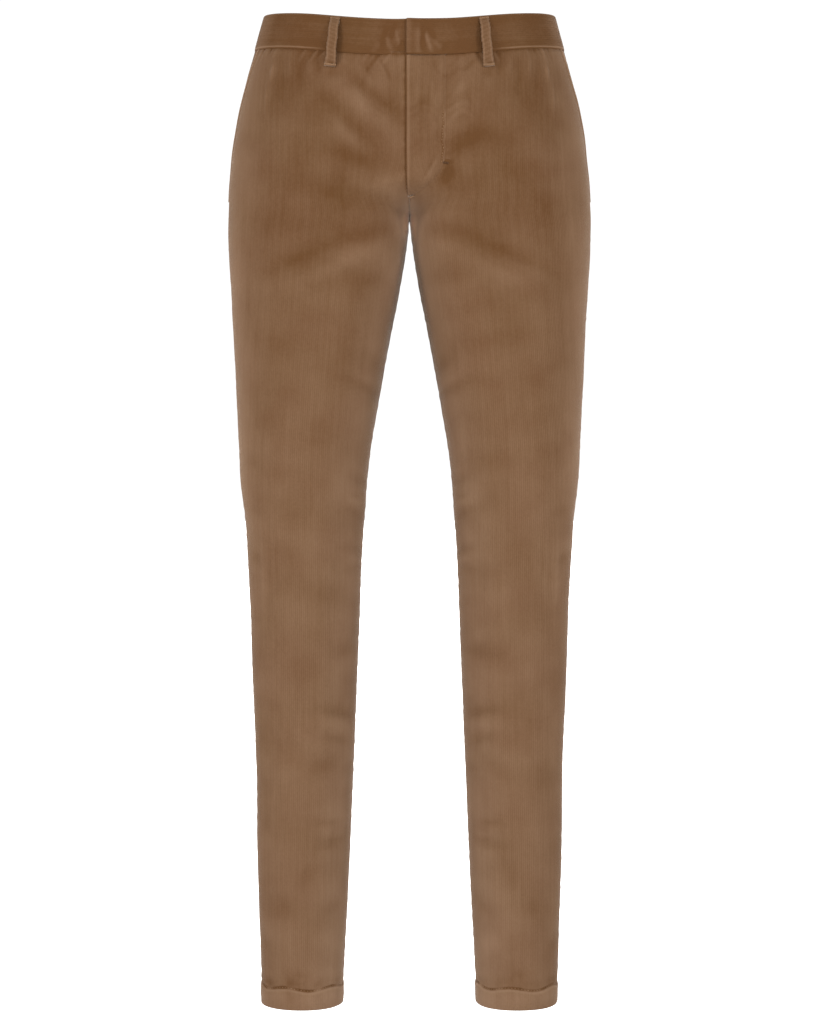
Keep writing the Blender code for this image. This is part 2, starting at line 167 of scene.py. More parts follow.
# ---- The outside of the left half, a row for each level, in millimetres ----
SECTION_COLUMNS = ("level", "outer", "inner", "front", "back", "seam", "crest")
SECTIONS = (
    (-1050, 155.6, 70.2, -50, 66, 8, 112.5),
    (-1035, 155.8, 70.1, -50, 66, 8, 112.5),
    (-999, 156.3, 69.2, -49, 66.5, 8.5, 112.5),
    (-937, 158.2, 65.8, -48.5, 68, 9, 112),
    (-874, 160.3, 62.8, -49.5, 69.5, 9, 111.5),
    (-790, 160.7, 59.2, -53, 70.5, 7, 109.5),
    (-748, 162.2, 57.3, -56, 70, 5, 109.5),
    (-706, 164, 55.7, -60.5, 68.5, 2, 109.5),
    (-664, 165.1, 53.9, -66, 65.5, -2, 109.5),
    (-622, 166, 52.2, -72, 61.5, -7, 109),
    (-580, 168, 50.6, -78.5, 58, -12, 109),
    (-539, 170.2, 48.2, -84, 57.5, -15, 109.5),
    (-515, 172.2, 46.4, -86.3, 59, -15.4, 110),
    (-494, 175.2, 45, -88.2, 61.5, -15, 110),
    (-455, 177.5, 41, -91, 67, -13, 109),
    (-413, 179.6, 34, -93.5, 74, -10, 106.5),
    (-371, 181.6, 26.7, -95.5, 81, -7, 104),
    (-329, 183.8, 18.8, -97, 88.5, -3, 101),
    (-287, 186.4, 10.5, -99, 97, 1, 98.5),
    (-245, 189, 3.8, -101.5, 106.5, 4, 96.5),
    (-212, 189.2, 0.2, -104.5, 115.5, 6, 94),
    (-180, 187.7, 0.2, -108.5, 124, 6, 84),
    (-151, 185.1, 0.2, -111, 127.5, 5, 71),
    (-120, 181.4, 0.2, -112, 127, 4, 55),
    (-90, 175.6, 0.2, -112, 124, 3, 39),
    (-67, 169.6, 0.2, -111, 120, 2, 27),
    (-37, 160.8, 0.2, -109, 114, 1, 14),
    (0, 150.6, 0.2, -106, 108.5, 0, 7),
    (25, 145, 0.2, -104, 105.5, 0, 5),
)

# ---- Folds: millimetres and degrees; side 0 is both, angle 0 runs round the leg ----
# side, level, share of the row, angle, length, width, depth and, where it has them, bend and lean
FRONT_FOLDS = (
    (0, -112, 0.60, 52, 60, 26, 0.8),
    (0, -128, 0.84, 58, 52, 18, -0.5),
    (0, -262, 0.86, -28, 55, 16, -0.3),
    (0, -330, 0.88, -32, 60, 15, -0.5),
    (1, -474, 0.80, -24, 52, 15, -0.7),
    (-1, -466, 0.82, -26, 48, 15, -0.5),
    (1, -500, 0.76, -20, 58, 15, 0.6),
    (-1, -492, 0.77, -22, 54, 15, 0.5),
    (1, -528, 0.84, -12, 46, 14, -0.6),
    (-1, -532, 0.82, -10, 50, 14, -0.5),
    (0, -520, 0.10, 16, 44, 15, -0.6),
    (1, -640, 0.86, 14, 44, 14, -0.6),
    (-1, -646, 0.84, 12, 48, 14, -0.5),
    (1, -722, 0.82, 10, 46, 14, -0.6),
    (-1, -716, 0.84, 12, 44, 14, -0.6),
    (-1, -108, 0.82, -42, 46, 11, 1.8),
    (-1, -94, 0.85, -37, 34, 8, -1.3),
    (-1, -119, 0.74, -47, 30, 7, -0.8),
    (-1, -133, 0.75, -49, 24, 8, 0.6),
    (-1, -159, 0.80, -18, 37, 10, -1.1, 3, 0.2),
    (-1, -188, 0.88, -15, 23, 9, 0.8),
    (-1, -192, 0.67, -15, 23, 10, -0.4),
    (0, -228, 0.70, 18, 46, 11, -1.3, 3, 0.2),
    (0, -268, 0.54, 25, 42, 9, 1.2, 2),
    (0, -256, 0.45, 23, 45, 7, -1.1, 0, 0.2),
    (-1, -141, 0.78, -37, 24, 8, 0.9),
    (1, -99, 0.89, -77, 23, 10, 0.7),
    (0, -280, 0.68, -4, 30, 10, -0.8),
    (1, -140, 0.77, -30, 22, 11, -1.8, -3, 0.2),
    (1, -174, 0.85, -39, 13, 8, -1.5),
    (1, -172, 0.90, -52, 17, 5, 0.9),
    (1, -87, 0.79, -45, 19, 9, 0.9),
    (1, -108, 0.77, -46, 18, 7, 0.7),
    (1, -130, 0.80, -51, 18, 6, 0.7),
    (1, -95, 0.83, -55, 15, 4, -0.6),
    (1, -166, 0.77, -36, 13, 9, 0.6),
    (0, -368, 0.83, -18, 33, 8, -1.2),
    (0, -382, 0.76, -16, 28, 5, 0.8),
    (0, -392, 0.80, -15, 39, 7, -1.5),
    (0, -426, 0.86, -8, 30, 6, -0.6),
    (0, -474, 0.82, -12, 19, 4, 0.7),
    (0, -486, 0.82, -13, 18, 5, -0.9),
    (0, -500, 0.81, -10, 12, 4, -0.8),
    (0, -506, 0.81, 0, 14, 3.5, 0.7),
    (0, -518, 0.82, -10, 24, 5, -1),
    (0, -556, 0.87, -5, 26, 4.5, -1.2),
    (0, -566, 0.83, -11, 21, 4, 0.8),
    (0, -576, 0.82, 5, 23, 5, -0.9),
    (0, -612, 0.83, -7, 16, 7, -0.7),
    (0, -564, 0.21, -9, 13, 7, -1.3),
    (0, -584, 0.27, 88, 42, 7, 0.9),
    (0, -466, 0.27, 0, 11, 6, -0.5),
    (0, -516, 0.24, -10, 12, 5, -0.6),
    (0, -662, 0.78, 9, 25, 9, -1.4, 0, 0.3),
    (0, -646, 0.73, -10, 23, 8, 0.6),
    (0, -726, 0.73, -9, 27, 5.5, -1.5, 0, 0.2),
    (0, -738, 0.71, -10, 24, 6, 0.7),
    (0, -754, 0.74, -12, 19, 6, -1.4, -2, 0.3),
    (0, -782, 0.62, 25, 19, 9, -1),
    (0, -786, 0.83, 0, 13, 5, -1),
    (0, -842, 0.69, -10, 23, 5, -1.2),
    (0, -850, 0.72, 0, 20, 5, 0.8),
    (0, -862, 0.70, 10, 24, 7, -1.7, 0, 0.2),
    (0, -894, 0.54, 64, 18, 10, -0.9),
    (0, -910, 0.70, 37, 20, 8, 0.8),
    (0, -928, 0.75, 26, 14, 5, -0.8),
    (0, -968, 0.71, -35, 17, 12, 1.2),
    (0, -930, 0.39, -19, 12, 12, -1.1),
    (0, -950, 0.23, -36, 14, 7, 0.7),
    (0, -970, 0.21, -23, 10, 5, -0.8),
    (0, -998, 0.49, 0, 8, 4, -0.9),
    (0, -1008, 0.24, -7, 16, 5, -0.8),
    (0, -998, 0.75, -17, 14, 6, 0.6),
    (0, -67, 0.35, -77, 8, 2.4, 1.5),
    (0, -93, 0.35, -76, 20, 2.4, 0.7, 1),
    (0, -70, 0.41, -72, 19, 4, -0.6),
    (0, -64, 0.45, -74, 10, 2.5, 0.7),
    (0, -73, 0.51, -75, 18, 3.5, -0.55),
    (0, -64, 0.55, -70, 9, 3, 0.8),
    (0, -66, 0.60, -76, 8, 2.5, -0.8),
    (0, -72, 0.66, -7, 7, 5, -1),
    (-1, -69, 0.82, -64, 4, 2.2, -1.1),
    (-1, -66, 0.88, -59, 9, 2, 0.7),
    (-1, -70, 0.90, -60, 13, 2.4, -1),
    (-1, -81, 0.83, -80, 5, 2.5, 0.7),
    (-1, -84, 0.79, -67, 10, 4, -0.9),
    (-1, -60, 0.71, -39, 4, 1.8, 0.6),
    (1, -64, 0.89, 81, 6, 2.2, -0.9),
    (1, -67, 0.86, -84, 9, 3, 0.6),
    (1, -65, 0.74, -39, 11, 2.2, -1.1),
    (1, -60, 0.78, -39, 7, 2.5, 0.6),
    (1, -76, 0.85, -5, 3, 1.5, -0.6),
    (1, -106, 0.75, -90, 7, 1.8, -0.7),
    (1, -167, 0.91, -61, 13, 2.2, 1.2),
    (1, -174, 0.85, -68, 9, 3.5, -1.1),
    (1, -166, 0.92, -61, 9, 1.8, -0.8),
    (1, -162, 0.84, 60, 4, 1.5, 0.7),
    (1, -88, 0.79, -18, 8, 5, 0.7),
    (1, -106, 0.78, -29, 8, 5, 0.7),
    (1, -83, 0.92, -19, 6, 6, 0.5),
    (1, -102, 0.95, -26, 8, 6, -0.5),
)
BACK_FOLDS = (
    (0, -236, 0.72, 18, 70, 15, -2.0),
    (0, -268, 0.66, 14, 74, 15, 1.6),
    (1, -508, 0.52, 6, 64, 11, -2.2),
    (-1, -502, 0.50, -5, 66, 11, -2.2),
    (0, -536, 0.46, 4, 68, 12, 1.7),
    (1, -566, 0.54, -7, 60, 10, -1.9),
    (-1, -560, 0.52, 8, 62, 10, -1.9),
    (0, -960, 0.50, 5, 55, 13, -1.5),
    (0, -985, 0.52, -4, 55, 12, 1.1),
)


@dataclass(frozen=True)
class Fold:
    """One soft trough or ridge of the cloth, in millimetres and degrees."""

    side: int
    level: float
    share: float
    angle: float
    length: float
    width: float
    depth: float
    bend: float = 0.0
    lean: float = 0.0

    def height(self, level: Array, along: Array, row: Array) -> Array:
        """How far the fold lifts the cloth.

        Args:
            level: Heights of the places, in metres.
            along: Their distances along their rows.
            row: The lengths of those rows.

        Returns:
            The lift at each place, in metres.
        """
        u, w = turned(along - self.share * row, level - self.level * MM, self.angle)
        u, w = u / (self.length * MM), w / (self.width * MM)
        w = w - self.bend / self.width * u**2
        w = w / (1 + self.lean * np.tanh(2 * w))
        return self.depth * MM * np.exp(-(u**2) - w**2)


@dataclass
class Body:
    """The outside of the cloth: at each level half the body is an oval of four quarters."""

    roundness: float = 2.15
    fork_squarer: float = 1.3
    thigh_squarer: float = 0.55
    fork_level: float = -232 * MM
    fork_height: float = 58 * MM
    thigh_level: float = -330 * MM
    thigh_height: float = 130 * MM
    quarter_steps: int = 150
    centre_clear: float = 0.2 * MM
    centre_touch: float = 0.01 * MM
    crotch: float = -212 * MM
    hem: float = -1035.5 * MM
    band_height: float = 37 * MM
    seam_gap: float = 0.3 * MM
    wall: float = 1.6 * MM
    rise_height: dict = field(default_factory=lambda: {Face.FRONT: 36 * MM, Face.BACK: 108 * MM})
    rise_squareness: dict = field(default_factory=lambda: {Face.FRONT: 1.8, Face.BACK: 1.75})
    cleft_share: dict = field(default_factory=lambda: {Face.FRONT: 0.008, Face.BACK: 0.028})
    front_dip: float = 17.5 * MM
    back_climb: float = 10 * MM
    dip_power: dict = field(default_factory=lambda: {Face.FRONT: 1.7, Face.BACK: 2.0})
    front_swell: float = 2.4 * MM
    band_narrows: float = 0.6 * MM
    side_drop: float = 2.3 * MM
    front_settles: float = 0.9 * MM
    settle_power: float = 3.5
    tuck: float = 3.4 * MM
    tilt_fades_at: float = -175 * MM
    lowest: float = -1060 * MM
    highest: float = 45 * MM
    level_step: float = 1.25 * MM
    share_steps: int = 900
    share_slack: float = 1e-6
    evened_over: float = 60 * MM
    even_steps: int = 25
    end_power: float = 5
    softened_over: float = 15 * MM
    soft_power: int = 4
    soft_weights: tuple = (0.12, 0.23, 0.30, 0.23, 0.12)
    gradient_step: float = 0.25 * MM
    fold_margin: float = 12 * MM
    fold_margin_share: float = 0.6
    grain_from_centre: float = 94 * MM
    sway: float = 0.175 * MM
    sway_by_side: float = 1.7
    sway_by_face: dict = field(default_factory=lambda: {Face.FRONT: 0.9, Face.BACK: 2.6})
    sway_waves: tuple = (
        Ripple(1.0, 71, 38, 0, 1),
        Ripple(1.0, 43, -87, 0, 2.3),
        Ripple(0.7, 149, 23, 0, 3.1),
    )

    def __post_init__(self) -> None:
        """Reads the rows of both faces once, closely enough to look up any place on them."""
        self.table = dict(zip(SECTION_COLUMNS, np.array(SECTIONS).T * MM))
        tables = {Face.FRONT: FRONT_FOLDS, Face.BACK: BACK_FOLDS}
        self.folds = {face: [Fold(*row) for row in rows] for face, rows in tables.items()}
        self.levels = np.arange(self.lowest, self.highest, self.level_step)
        self.lines, self.row_lengths, self.even_lengths, self.grain_lines = {}, {}, {}, {}
        for face in Face:
            self._read_rows(face)

    def _read_rows(self, face: Face) -> None:
        """Stores a face's rows, their lengths and where the grain line crosses them.

        Args:
            face: The face whose rows are read.
        """
        x, y = self._row_line(self.levels, face)
        steps = np.hypot(np.diff(x), np.diff(y))
        run = np.concatenate([np.zeros((len(x), 1)), np.cumsum(steps, axis=1)], axis=1)
        length = run[:, -1]
        near = np.linspace(-1, 1, self.even_steps)
        weights = (1 - near**2) ** 2
        spread = np.clip(self.levels[:, None] + near * self.evened_over, self.hem, 0)
        even = np.interp(spread, self.levels, length) @ weights / weights.sum()
        share = np.linspace(0, 1, self.share_steps + 1)
        along = even[:, None] * share + (length - even)[:, None] * share**self.end_power
        line = np.empty(along.shape + (2,))
        for row, axis in np.ndindex(len(x), 2):
            line[row, :, axis] = np.interp(along[row], run[row], (x, y)[axis][row])
        crest = self._read("crest", self.levels)
        grain_x = np.where(self.levels < self.crotch, crest, self.grain_from_centre)
        grain = [np.interp(-grain_x[row], -x[row], run[row]) for row in range(len(x))]
        self.lines[face], self.row_lengths[face], self.even_lengths[face] = line, length, even
        self.grain_lines[face] = np.array(grain)

    def _read(self, column: str, level: Array) -> Array:
        """The smooth curve through one column of SECTIONS.

        Args:
            column: The column's name.
            level: Heights to read it at.

        Returns:
            The column's values there, in metres.
        """
        levels, values = self.table["level"], self.table[column]
        slopes = np.gradient(values, levels)
        i = np.clip(np.searchsorted(levels, level) - 1, 0, len(levels) - 2)
        step = levels[i + 1] - levels[i]
        s = (level - levels[i]) / step
        start = (1 + 2 * s) * (1 - s) ** 2 * values[i] + s * (1 - s) ** 2 * step * slopes[i]
        end = s * s * (3 - 2 * s) * values[i + 1] + s * s * (s - 1) * step * slopes[i + 1]
        return start + end

    def _oval(self, level: Array, face: Face) -> tuple:
        """The sizes of a face's two quarter ovals.

        Args:
            level: Heights to read them at.
            face: The face.

        Returns:
            Middle, seam depth, outer reach, inner reach, depth, the inner quarter's last turn and
            its roundness.
        """
        seam = self._read("seam", level)
        crest = self._read("crest", level)
        inner_edge = np.maximum(self._read("inner", level), self.centre_clear)
        power = self.rise_squareness[face]
        s = np.clip((level - self.crotch) / self.rise_height[face], 0, 1)
        crest_share = np.clip(crest / self._read("crest", np.array(self.crotch)), 0, 1)
        top = 1 - self.cleft_share[face] * crest_share**2
        rise = top * (1 - (1 - s) ** power) ** (1 / power)
        inner_round = np.full_like(seam, self.roundness)
        if face is Face.FRONT:
            inner_round += self.fork_squarer * hump(level, self.fork_level, self.fork_height)
            inner_round += self.thigh_squarer * hump(level, self.thigh_level, self.thigh_height)
        last = np.arccos(rise ** (inner_round / 2))
        inner_reach = (crest - inner_edge) / np.sin(last) ** (2 / inner_round)
        depth = self._read(face.value, level) - seam
        outer_reach = self._read("outer", level) - crest
        return crest, seam, outer_reach, inner_reach, depth, last, inner_round

    def _row_line(self, level: Array, face: Face) -> tuple:
        """The outside of half a body, from the side seam to the centre or the inseam.

        Args:
            level: Heights of the rows.
            face: The face.

        Returns:
            The rows' X and Y.
        """
        crest, seam, reach, inner_reach, depth, last, inner_round = (
            value[:, None] for value in self._oval(level, face)
        )
        turn = np.linspace(0, 1, self.quarter_steps)
        power, inner_power = 2 / self.roundness, 2 / inner_round
        a, b = turn * math.pi / 2, turn * last
        x_out = crest + reach * np.cos(a).clip(0) ** power
        y_out = seam + depth * np.sin(a) ** power
        x_in = crest - inner_reach * np.sin(b) ** inner_power
        y_in = seam + depth * np.cos(b).clip(0) ** inner_power
        x = np.concatenate([x_out, x_in[:, 1:]], axis=1)
        return x, np.concatenate([y_out, y_in[:, 1:]], axis=1)

    def _steepness(self, points: Array, face: Face) -> Array:
        """The oval's implicit function.

        Args:
            points: Points near the surface.
            face: The face.

        Returns:
            1 on the surface, and more outside it.
        """
        x, y, z = np.moveaxis(points, -1, 0)
        crest, seam, reach, inner_reach, depth, _, inner_round = self._oval(z, face)
        power = np.where(x >= crest, self.roundness, inner_round)
        across = np.where(x >= crest, (x - crest) / reach, (crest - x) / inner_reach)
        return np.abs(across) ** power + np.abs((y - seam) / depth) ** power

    def _outward(self, points: Array, face: Face) -> Array:
        """The unit normals of the surface.

        Args:
            points: Points on it.
            face: The face that they lie on.

        Returns:
            A normal for each point.
        """
        steps = np.eye(3) * self.gradient_step
        ahead, behind = ([self._steepness(points + way * h, face) for h in steps] for way in (1, -1))
        gradient = np.stack(ahead, axis=-1) - np.stack(behind, axis=-1)
        return gradient / np.linalg.norm(gradient, axis=-1, keepdims=True)

    def _line_points(self, face: Face, level: Array, share: Array) -> Array:
        """X and Y of places on the stored rows, between rows and columns too.

        Args:
            face: The face.
            level: Heights of the places.
            share: Their shares of the rows' lengths.

        Returns:
            X and Y in the last axis.
        """
        grid = self.lines[face]
        r = (level - self.lowest) / self.level_step
        i = np.clip(r.astype(int), 0, len(grid) - 2)
        c = share * self.share_steps
        j = np.clip(c.astype(int), 0, self.share_steps - 1)
        r, c = (r - i)[..., None], (c - j)[..., None]
        lower = grid[i, j] * (1 - c) + grid[i, j + 1] * c
        upper = grid[i + 1, j] * (1 - c) + grid[i + 1, j + 1] * c
        return lower * (1 - r) + upper * r

    def _tilt(self, face: Face, level: Array, share: Array) -> Array:
        """How far the waistline leaves its level.

        Args:
            face: The face.
            level: Heights before the tilt.
            share: Shares of the rows' lengths.

        Returns:
            The rise of each place, in metres.
        """
        most, swell = (
            (-self.front_dip, self.front_swell) if face is Face.FRONT else (self.back_climb, 0.0)
        )
        tilt = most * np.sin(share * math.pi / 2) ** self.dip_power[face]
        tilt = tilt + swell * np.sin(share * math.pi) ** 2
        settled = self.side_drop + (self.front_settles if face is Face.FRONT else 0.0)
        tilt = tilt - self.side_drop + settled * share**self.settle_power
        into_band = np.clip(-level / self.band_height, 0, 1)
        tilt = tilt + self.band_narrows * (1 - share**2) ** 2 * into_band
        return tilt * eased(level, self.tilt_fades_at, -self.band_height)

    def reach(self, column: str, level: Array) -> Array:
        """One of the section's widths at each level, held at the ends of the table."""
        return self._read(column, np.clip(level, self.table["level"][0], self.table["level"][-1]))

    def row_length(self, face: Face, level: Array) -> Array:
        """The length of a face's row at each level."""
        return np.interp(level, self.levels, self.row_lengths[face])

    def even_length(self, face: Face, level: Array) -> Array:
        """The row length with its jump at the crotch spread over the levels about it."""
        return np.interp(level, self.levels, self.even_lengths[face])

    def grain_at(self, face: Face, level: Array) -> Array:
        """How far along each row the middle wale of a leg piece lies."""
        return np.interp(level, self.levels, self.grain_lines[face])

    def on(self, side: Side, face: Face, level: Array, share: Array) -> tuple:
        """Places on the cloth's outside; a share past 1 goes on over the centre seam.

        Args:
            side: The side whose piece the row starts on.
            face: The face.
            level: Heights of the places.
            share: Their shares of the rows' lengths.

        Returns:
            Points, unit normals and the lift of the folds there.
        """
        level, share = np.broadcast_arrays(np.asarray(level, float), np.asarray(share, float))
        points, normals = np.empty(level.shape + (3,)), np.empty(level.shape + (3,))
        lift = np.empty(level.shape)
        past = share > 1 + self.share_slack
        for here, chosen in ((side, ~past), (Side(-side.value), past)):
            if chosen.any():
                part = np.where(share > 1, 2 - share, share)[chosen]
                found = self._on_one(here, face, level[chosen], np.clip(part, 0, 1))
                points[chosen], normals[chosen], lift[chosen] = found
        return points, normals, lift

    def _on_one(self, side: Side, face: Face, level: Array, share: Array) -> tuple:
        """Places on the outside of one side's piece.

        Args:
            side: The side.
            face: The face.
            level: Heights of the places.
            share: Their shares of the rows' lengths, up to 1.

        Returns:
            Points, unit normals and the lift of the folds there.
        """
        z = level + self._tilt(face, level, share)
        spread = self.softened_over * (1 - share**self.soft_power)
        flat = np.zeros(z.shape + (2,))
        for step, weight in zip(np.linspace(-1, 1, len(self.soft_weights)), self.soft_weights):
            flat += weight * self._line_points(face, z + step * spread, share)
        points = np.concatenate([flat, z[..., None]], axis=-1)
        normals = self._outward(points, face)
        row, even = self.row_length(face, z), self.even_length(face, z)
        along = even * share + (row - even) * share**self.end_power
        from_edge = np.minimum(along, row - along)
        near_edge = np.clip(from_edge / self.fold_margin, 0, 1)
        lift = self._swaying(side, face, z, along) * near_edge
        for fold in self.folds[face]:
            if fold.side in (0, side.value):
                margin = min(self.fold_margin, self.fold_margin_share * fold.width * MM)
                lift += fold.height(z, along, row) * np.clip(from_edge / margin, 0, 1)
        mirror = np.array([side.value, 1, 1])
        return (points + normals * lift[..., None]) * mirror, normals * mirror, lift

    def _swaying(self, side: Side, face: Face, z: Array, along: Array) -> Array:
        """The faint unevenness of cloth that hangs free: a few slow waves across each other."""
        seed = self.sway_by_side * side.value + self.sway_by_face[face]
        return self.sway * rippled(self.sway_waves, z, along, seed)


# ---- Finishes ----
class NodeSheet:
    """A node tree that is being laid out, for a material or for Geometry Nodes."""

    def __init__(self, tree: bpy.types.NodeTree) -> None:
        """Starts on a tree."""
        self.tree = tree

    def add(self, kind: str, *sources: object, **settings: object) -> bpy.types.Node:
        """Adds a node.

        Args:
            kind: The node's type name.
            *sources: What goes into its inputs in order: a socket, a plain value or None.
            **settings: The node's own properties.

        Returns:
            The node.
        """
        node = self.tree.nodes.new(kind)
        for name, value in settings.items():
            setattr(node, name, value)
        for place, source in enumerate(sources):
            if source is not None:
                self.feed(node.inputs[place], source)
        return node

    def feed(self, socket: bpy.types.NodeSocket, source: object) -> None:
        """Links a socket to an input, or sets the input's value.

        Args:
            socket: The input.
            source: A socket or a plain value.
        """
        if isinstance(source, bpy.types.NodeSocket):
            self.tree.links.new(source, socket)
        else:
            socket.default_value = source

    def maths(self, operation: str, *sources: object) -> bpy.types.NodeSocket:
        """The result of a Math node on the given sources."""
        return self.add("ShaderNodeMath", *sources, operation=operation).outputs[0]

    def noise(self, at: object, scale: float, detail: float = 2.0) -> bpy.types.NodeSocket:
        """A noise value from 0 to 1 at a position.

        Args:
            at: The position's socket.
            scale: Blotches for each unit of length.
            detail: How many finer layers it has.

        Returns:
            The value's socket.
        """
        node = self.add("ShaderNodeTexNoise")
        self.feed(node.inputs["Vector"], at)
        node.inputs["Scale"].default_value = scale
        node.inputs["Detail"].default_value = detail
        return node.outputs["Fac"]

    def spread(self, value: object, low: float, high: float, to_low: float, to_high: float) -> object:
        """A value's range from low to high stretched onto another range, held at its ends."""
        node = self.add("ShaderNodeMapRange", value, low, high, to_low, to_high, clamp=True)
        return node.outputs[0]

    def mixed(self, share: object, first: object, second: object, how: str = "MIX") -> object:
        """A colour between two others.

        Args:
            share: How much of the second there is.
            first: The first colour.
            second: The second colour.
            how: The way of mixing.

        Returns:
            The colour's socket.
        """
        node = self.add("ShaderNodeMix", data_type="RGBA", blend_type=how)
        for socket, source in zip((node.inputs[0], node.inputs[6], node.inputs[7]), (share, first, second)):
            self.feed(socket, source)
        return node.outputs[2]


class MaterialSheet(NodeSheet):
    """A new material's nodes, with its shader and the places on its object."""

    def __init__(self, name: str) -> None:
        """Starts a material.

        Args:
            name: Its name.
        """
        self.material = bpy.data.materials.new(name)
        self.material.use_nodes = True
        super().__init__(self.material.node_tree)
        self.shader = self.tree.nodes["Principled BSDF"]
        self.place = self.add("ShaderNodeTexCoord").outputs["Object"]

    def look(self, **sources: object) -> None:
        """Feeds the shader's sockets, named with underscores for spaces."""
        for name, source in sources.items():
            self.feed(self.shader.inputs[name.replace("_", " ")], source)


@dataclass(frozen=True)
class Corduroy:
    """Fine-wale brown corduroy with a soft nap; colours are linear."""

    name: str
    pile: tuple = (0.090, 0.039, 0.0138, 1)
    # the paler end of the lightness: pile paler from rubbing and from painted light
    worn: tuple = (0.336, 0.217, 0.142, 1)
    # painted fill light: a pale tan past the paler end, for a painted pool of light where the legs shade
    # each other at the fork
    painted_fill_light: tuple = (0.660, 0.410, 0.250, 1)
    # the grooves between wales: their darker ground, deepened by painted shade
    groove: tuple = (0.065, 0.031, 0.012, 1)
    reverse: tuple = (0.130, 0.070, 0.038, 1)
    lightness: float = 0.42
    sheen: float = 0.45
    sheen_roughness: float = 0.25
    sheen_tint: tuple = (1.0, 0.88, 0.76, 1)
    specular: float = 0.1
    olive: tuple = (0.135, 0.110, 0.040, 1)
    blotches_per_metre: float = 34
    patches_per_metre: float = 17
    specks_per_metre: float = 420
    fuzz_per_metre: float = 2600
    streaked: float = 0.045
    blotched: float = 0.07
    specked: float = 0.05
    dashed: tuple = (0.03, -0.04)
    # how much of a wale's width and length one streak and one dash take, as the noise's scale
    streak_scale: tuple = (0.55, 0.016, 1.0)
    dash_scale: tuple = (0.9, 0.045, 1.0)
    grain_range: tuple = (0.3, 0.7)
    patches_at: tuple = (0.45, 0.6)
    olive_at: tuple = (0.35, 0.62)
    groove_from: float = 0.16
    groove_share: float = 0.16
    olive_share: float = 0.035
    worn_at: tuple = (0.0, 2.0)
    painted_fill_light_at: tuple = (1.4, 3.4)
    roughness: tuple = (0.86, 0.98)
    fuzz_strength: float = 0.35
    fuzz_height: float = 0.25 * MM

    def material(self) -> bpy.types.Material:
        """Builds the finish from the cloth's own wale coordinates and its place in the object.

        Returns:
            The material.
        """
        sheet = MaterialSheet(self.name)
        wales = sheet.add("ShaderNodeUVMap", uv_map="wales").outputs[0]
        streak = sheet.noise(self._stretched(sheet, wales, self.streak_scale), 1.0, 3.0)
        dash = sheet.noise(self._stretched(sheet, wales, self.dash_scale), 1.0, 1.0)
        blotch = sheet.noise(sheet.place, self.blotches_per_metre, 3.0)
        patch = sheet.noise(sheet.place, self.patches_per_metre)
        speck = sheet.noise(sheet.place, self.specks_per_metre)
        # the pieces' lightness: painted light and shade (relief shading, highlights, shadows, fill light at
        # the fork) with some rubbing
        light = sheet.add("ShaderNodeAttribute", attribute_name="wear").outputs["Fac"]
        light = sheet.maths("ADD", light, self.lightness)
        for grain, amount in ((streak, self.streaked), (blotch, self.blotched), (speck, self.specked)):
            uneven = sheet.spread(grain, *self.grain_range, -amount, amount)
            light = sheet.maths("ADD", light, uneven)
        in_patches = sheet.spread(patch, *self.patches_at, 0.0, 1.0)
        dashes = sheet.spread(dash, *self.grain_range, *self.dashed)
        dashes = sheet.maths("MULTIPLY", dashes, in_patches)
        light = sheet.maths("ADD", light, dashes)
        sheet.look(
            Base_Color=self._coloured(sheet, light, patch, wales),
            Roughness=sheet.spread(speck, *self.grain_range, *self.roughness),
            Normal=self._fuzzed(sheet),
            Sheen_Weight=self.sheen,
            Sheen_Roughness=self.sheen_roughness,
            Sheen_Tint=self.sheen_tint,
            Specular_IOR_Level=self.specular,
        )
        sheet.material.diffuse_color = self.pile
        return sheet.material

    def _stretched(self, sheet: NodeSheet, wales: object, scale: tuple) -> object:
        """The wale coordinates, scaled so that a noise on them runs along the wales."""
        return sheet.add("ShaderNodeVectorMath", wales, scale, operation="MULTIPLY").outputs[0]

    def _coloured(self, sheet: NodeSheet, light: object, patch: object, wales: object) -> object:
        """The cloth's colour, from its lightness with its painted light, a painted pool of fill light where
        that runs high, grooves darker partly as their own ground and partly as painted shade, and a plain
        reverse.

        Args:
            sheet: The material's nodes.
            light: The lightness.
            patch: A slow noise.
            wales: The wale coordinates.

        Returns:
            The colour's socket.
        """
        across = sheet.add("ShaderNodeSeparateXYZ", wales).outputs[0]
        from_crown = sheet.maths("PINGPONG", across, 0.5)
        groove = sheet.spread(from_crown, self.groove_from, 0.0, 0.0, self.groove_share)
        colour = sheet.mixed(sheet.spread(light, *self.worn_at, 0.0, 1.0), self.pile, self.worn)
        # painted fill light where the painted lightness runs past the paler end
        colour = sheet.mixed(sheet.spread(light, *self.painted_fill_light_at, 0.0, 1.0), colour, self.painted_fill_light)
        olive = sheet.spread(patch, *self.olive_at, 0.0, self.olive_share)
        colour = sheet.mixed(olive, colour, self.olive)
        colour = sheet.mixed(groove, colour, self.groove)
        inside = sheet.add("ShaderNodeAttribute", attribute_name="inside").outputs["Fac"]
        return sheet.mixed(inside, colour, self.reverse)

    def _fuzzed(self, sheet: MaterialSheet) -> object:
        """The nap's fine fuzz.

        Args:
            sheet: The material's nodes.

        Returns:
            The normal's socket.
        """
        bump = sheet.add("ShaderNodeBump")
        bump.inputs["Strength"].default_value = self.fuzz_strength
        bump.inputs["Distance"].default_value = self.fuzz_height
        sheet.feed(bump.inputs["Height"], sheet.noise(sheet.place, self.fuzz_per_metre))
        return bump.outputs[0]


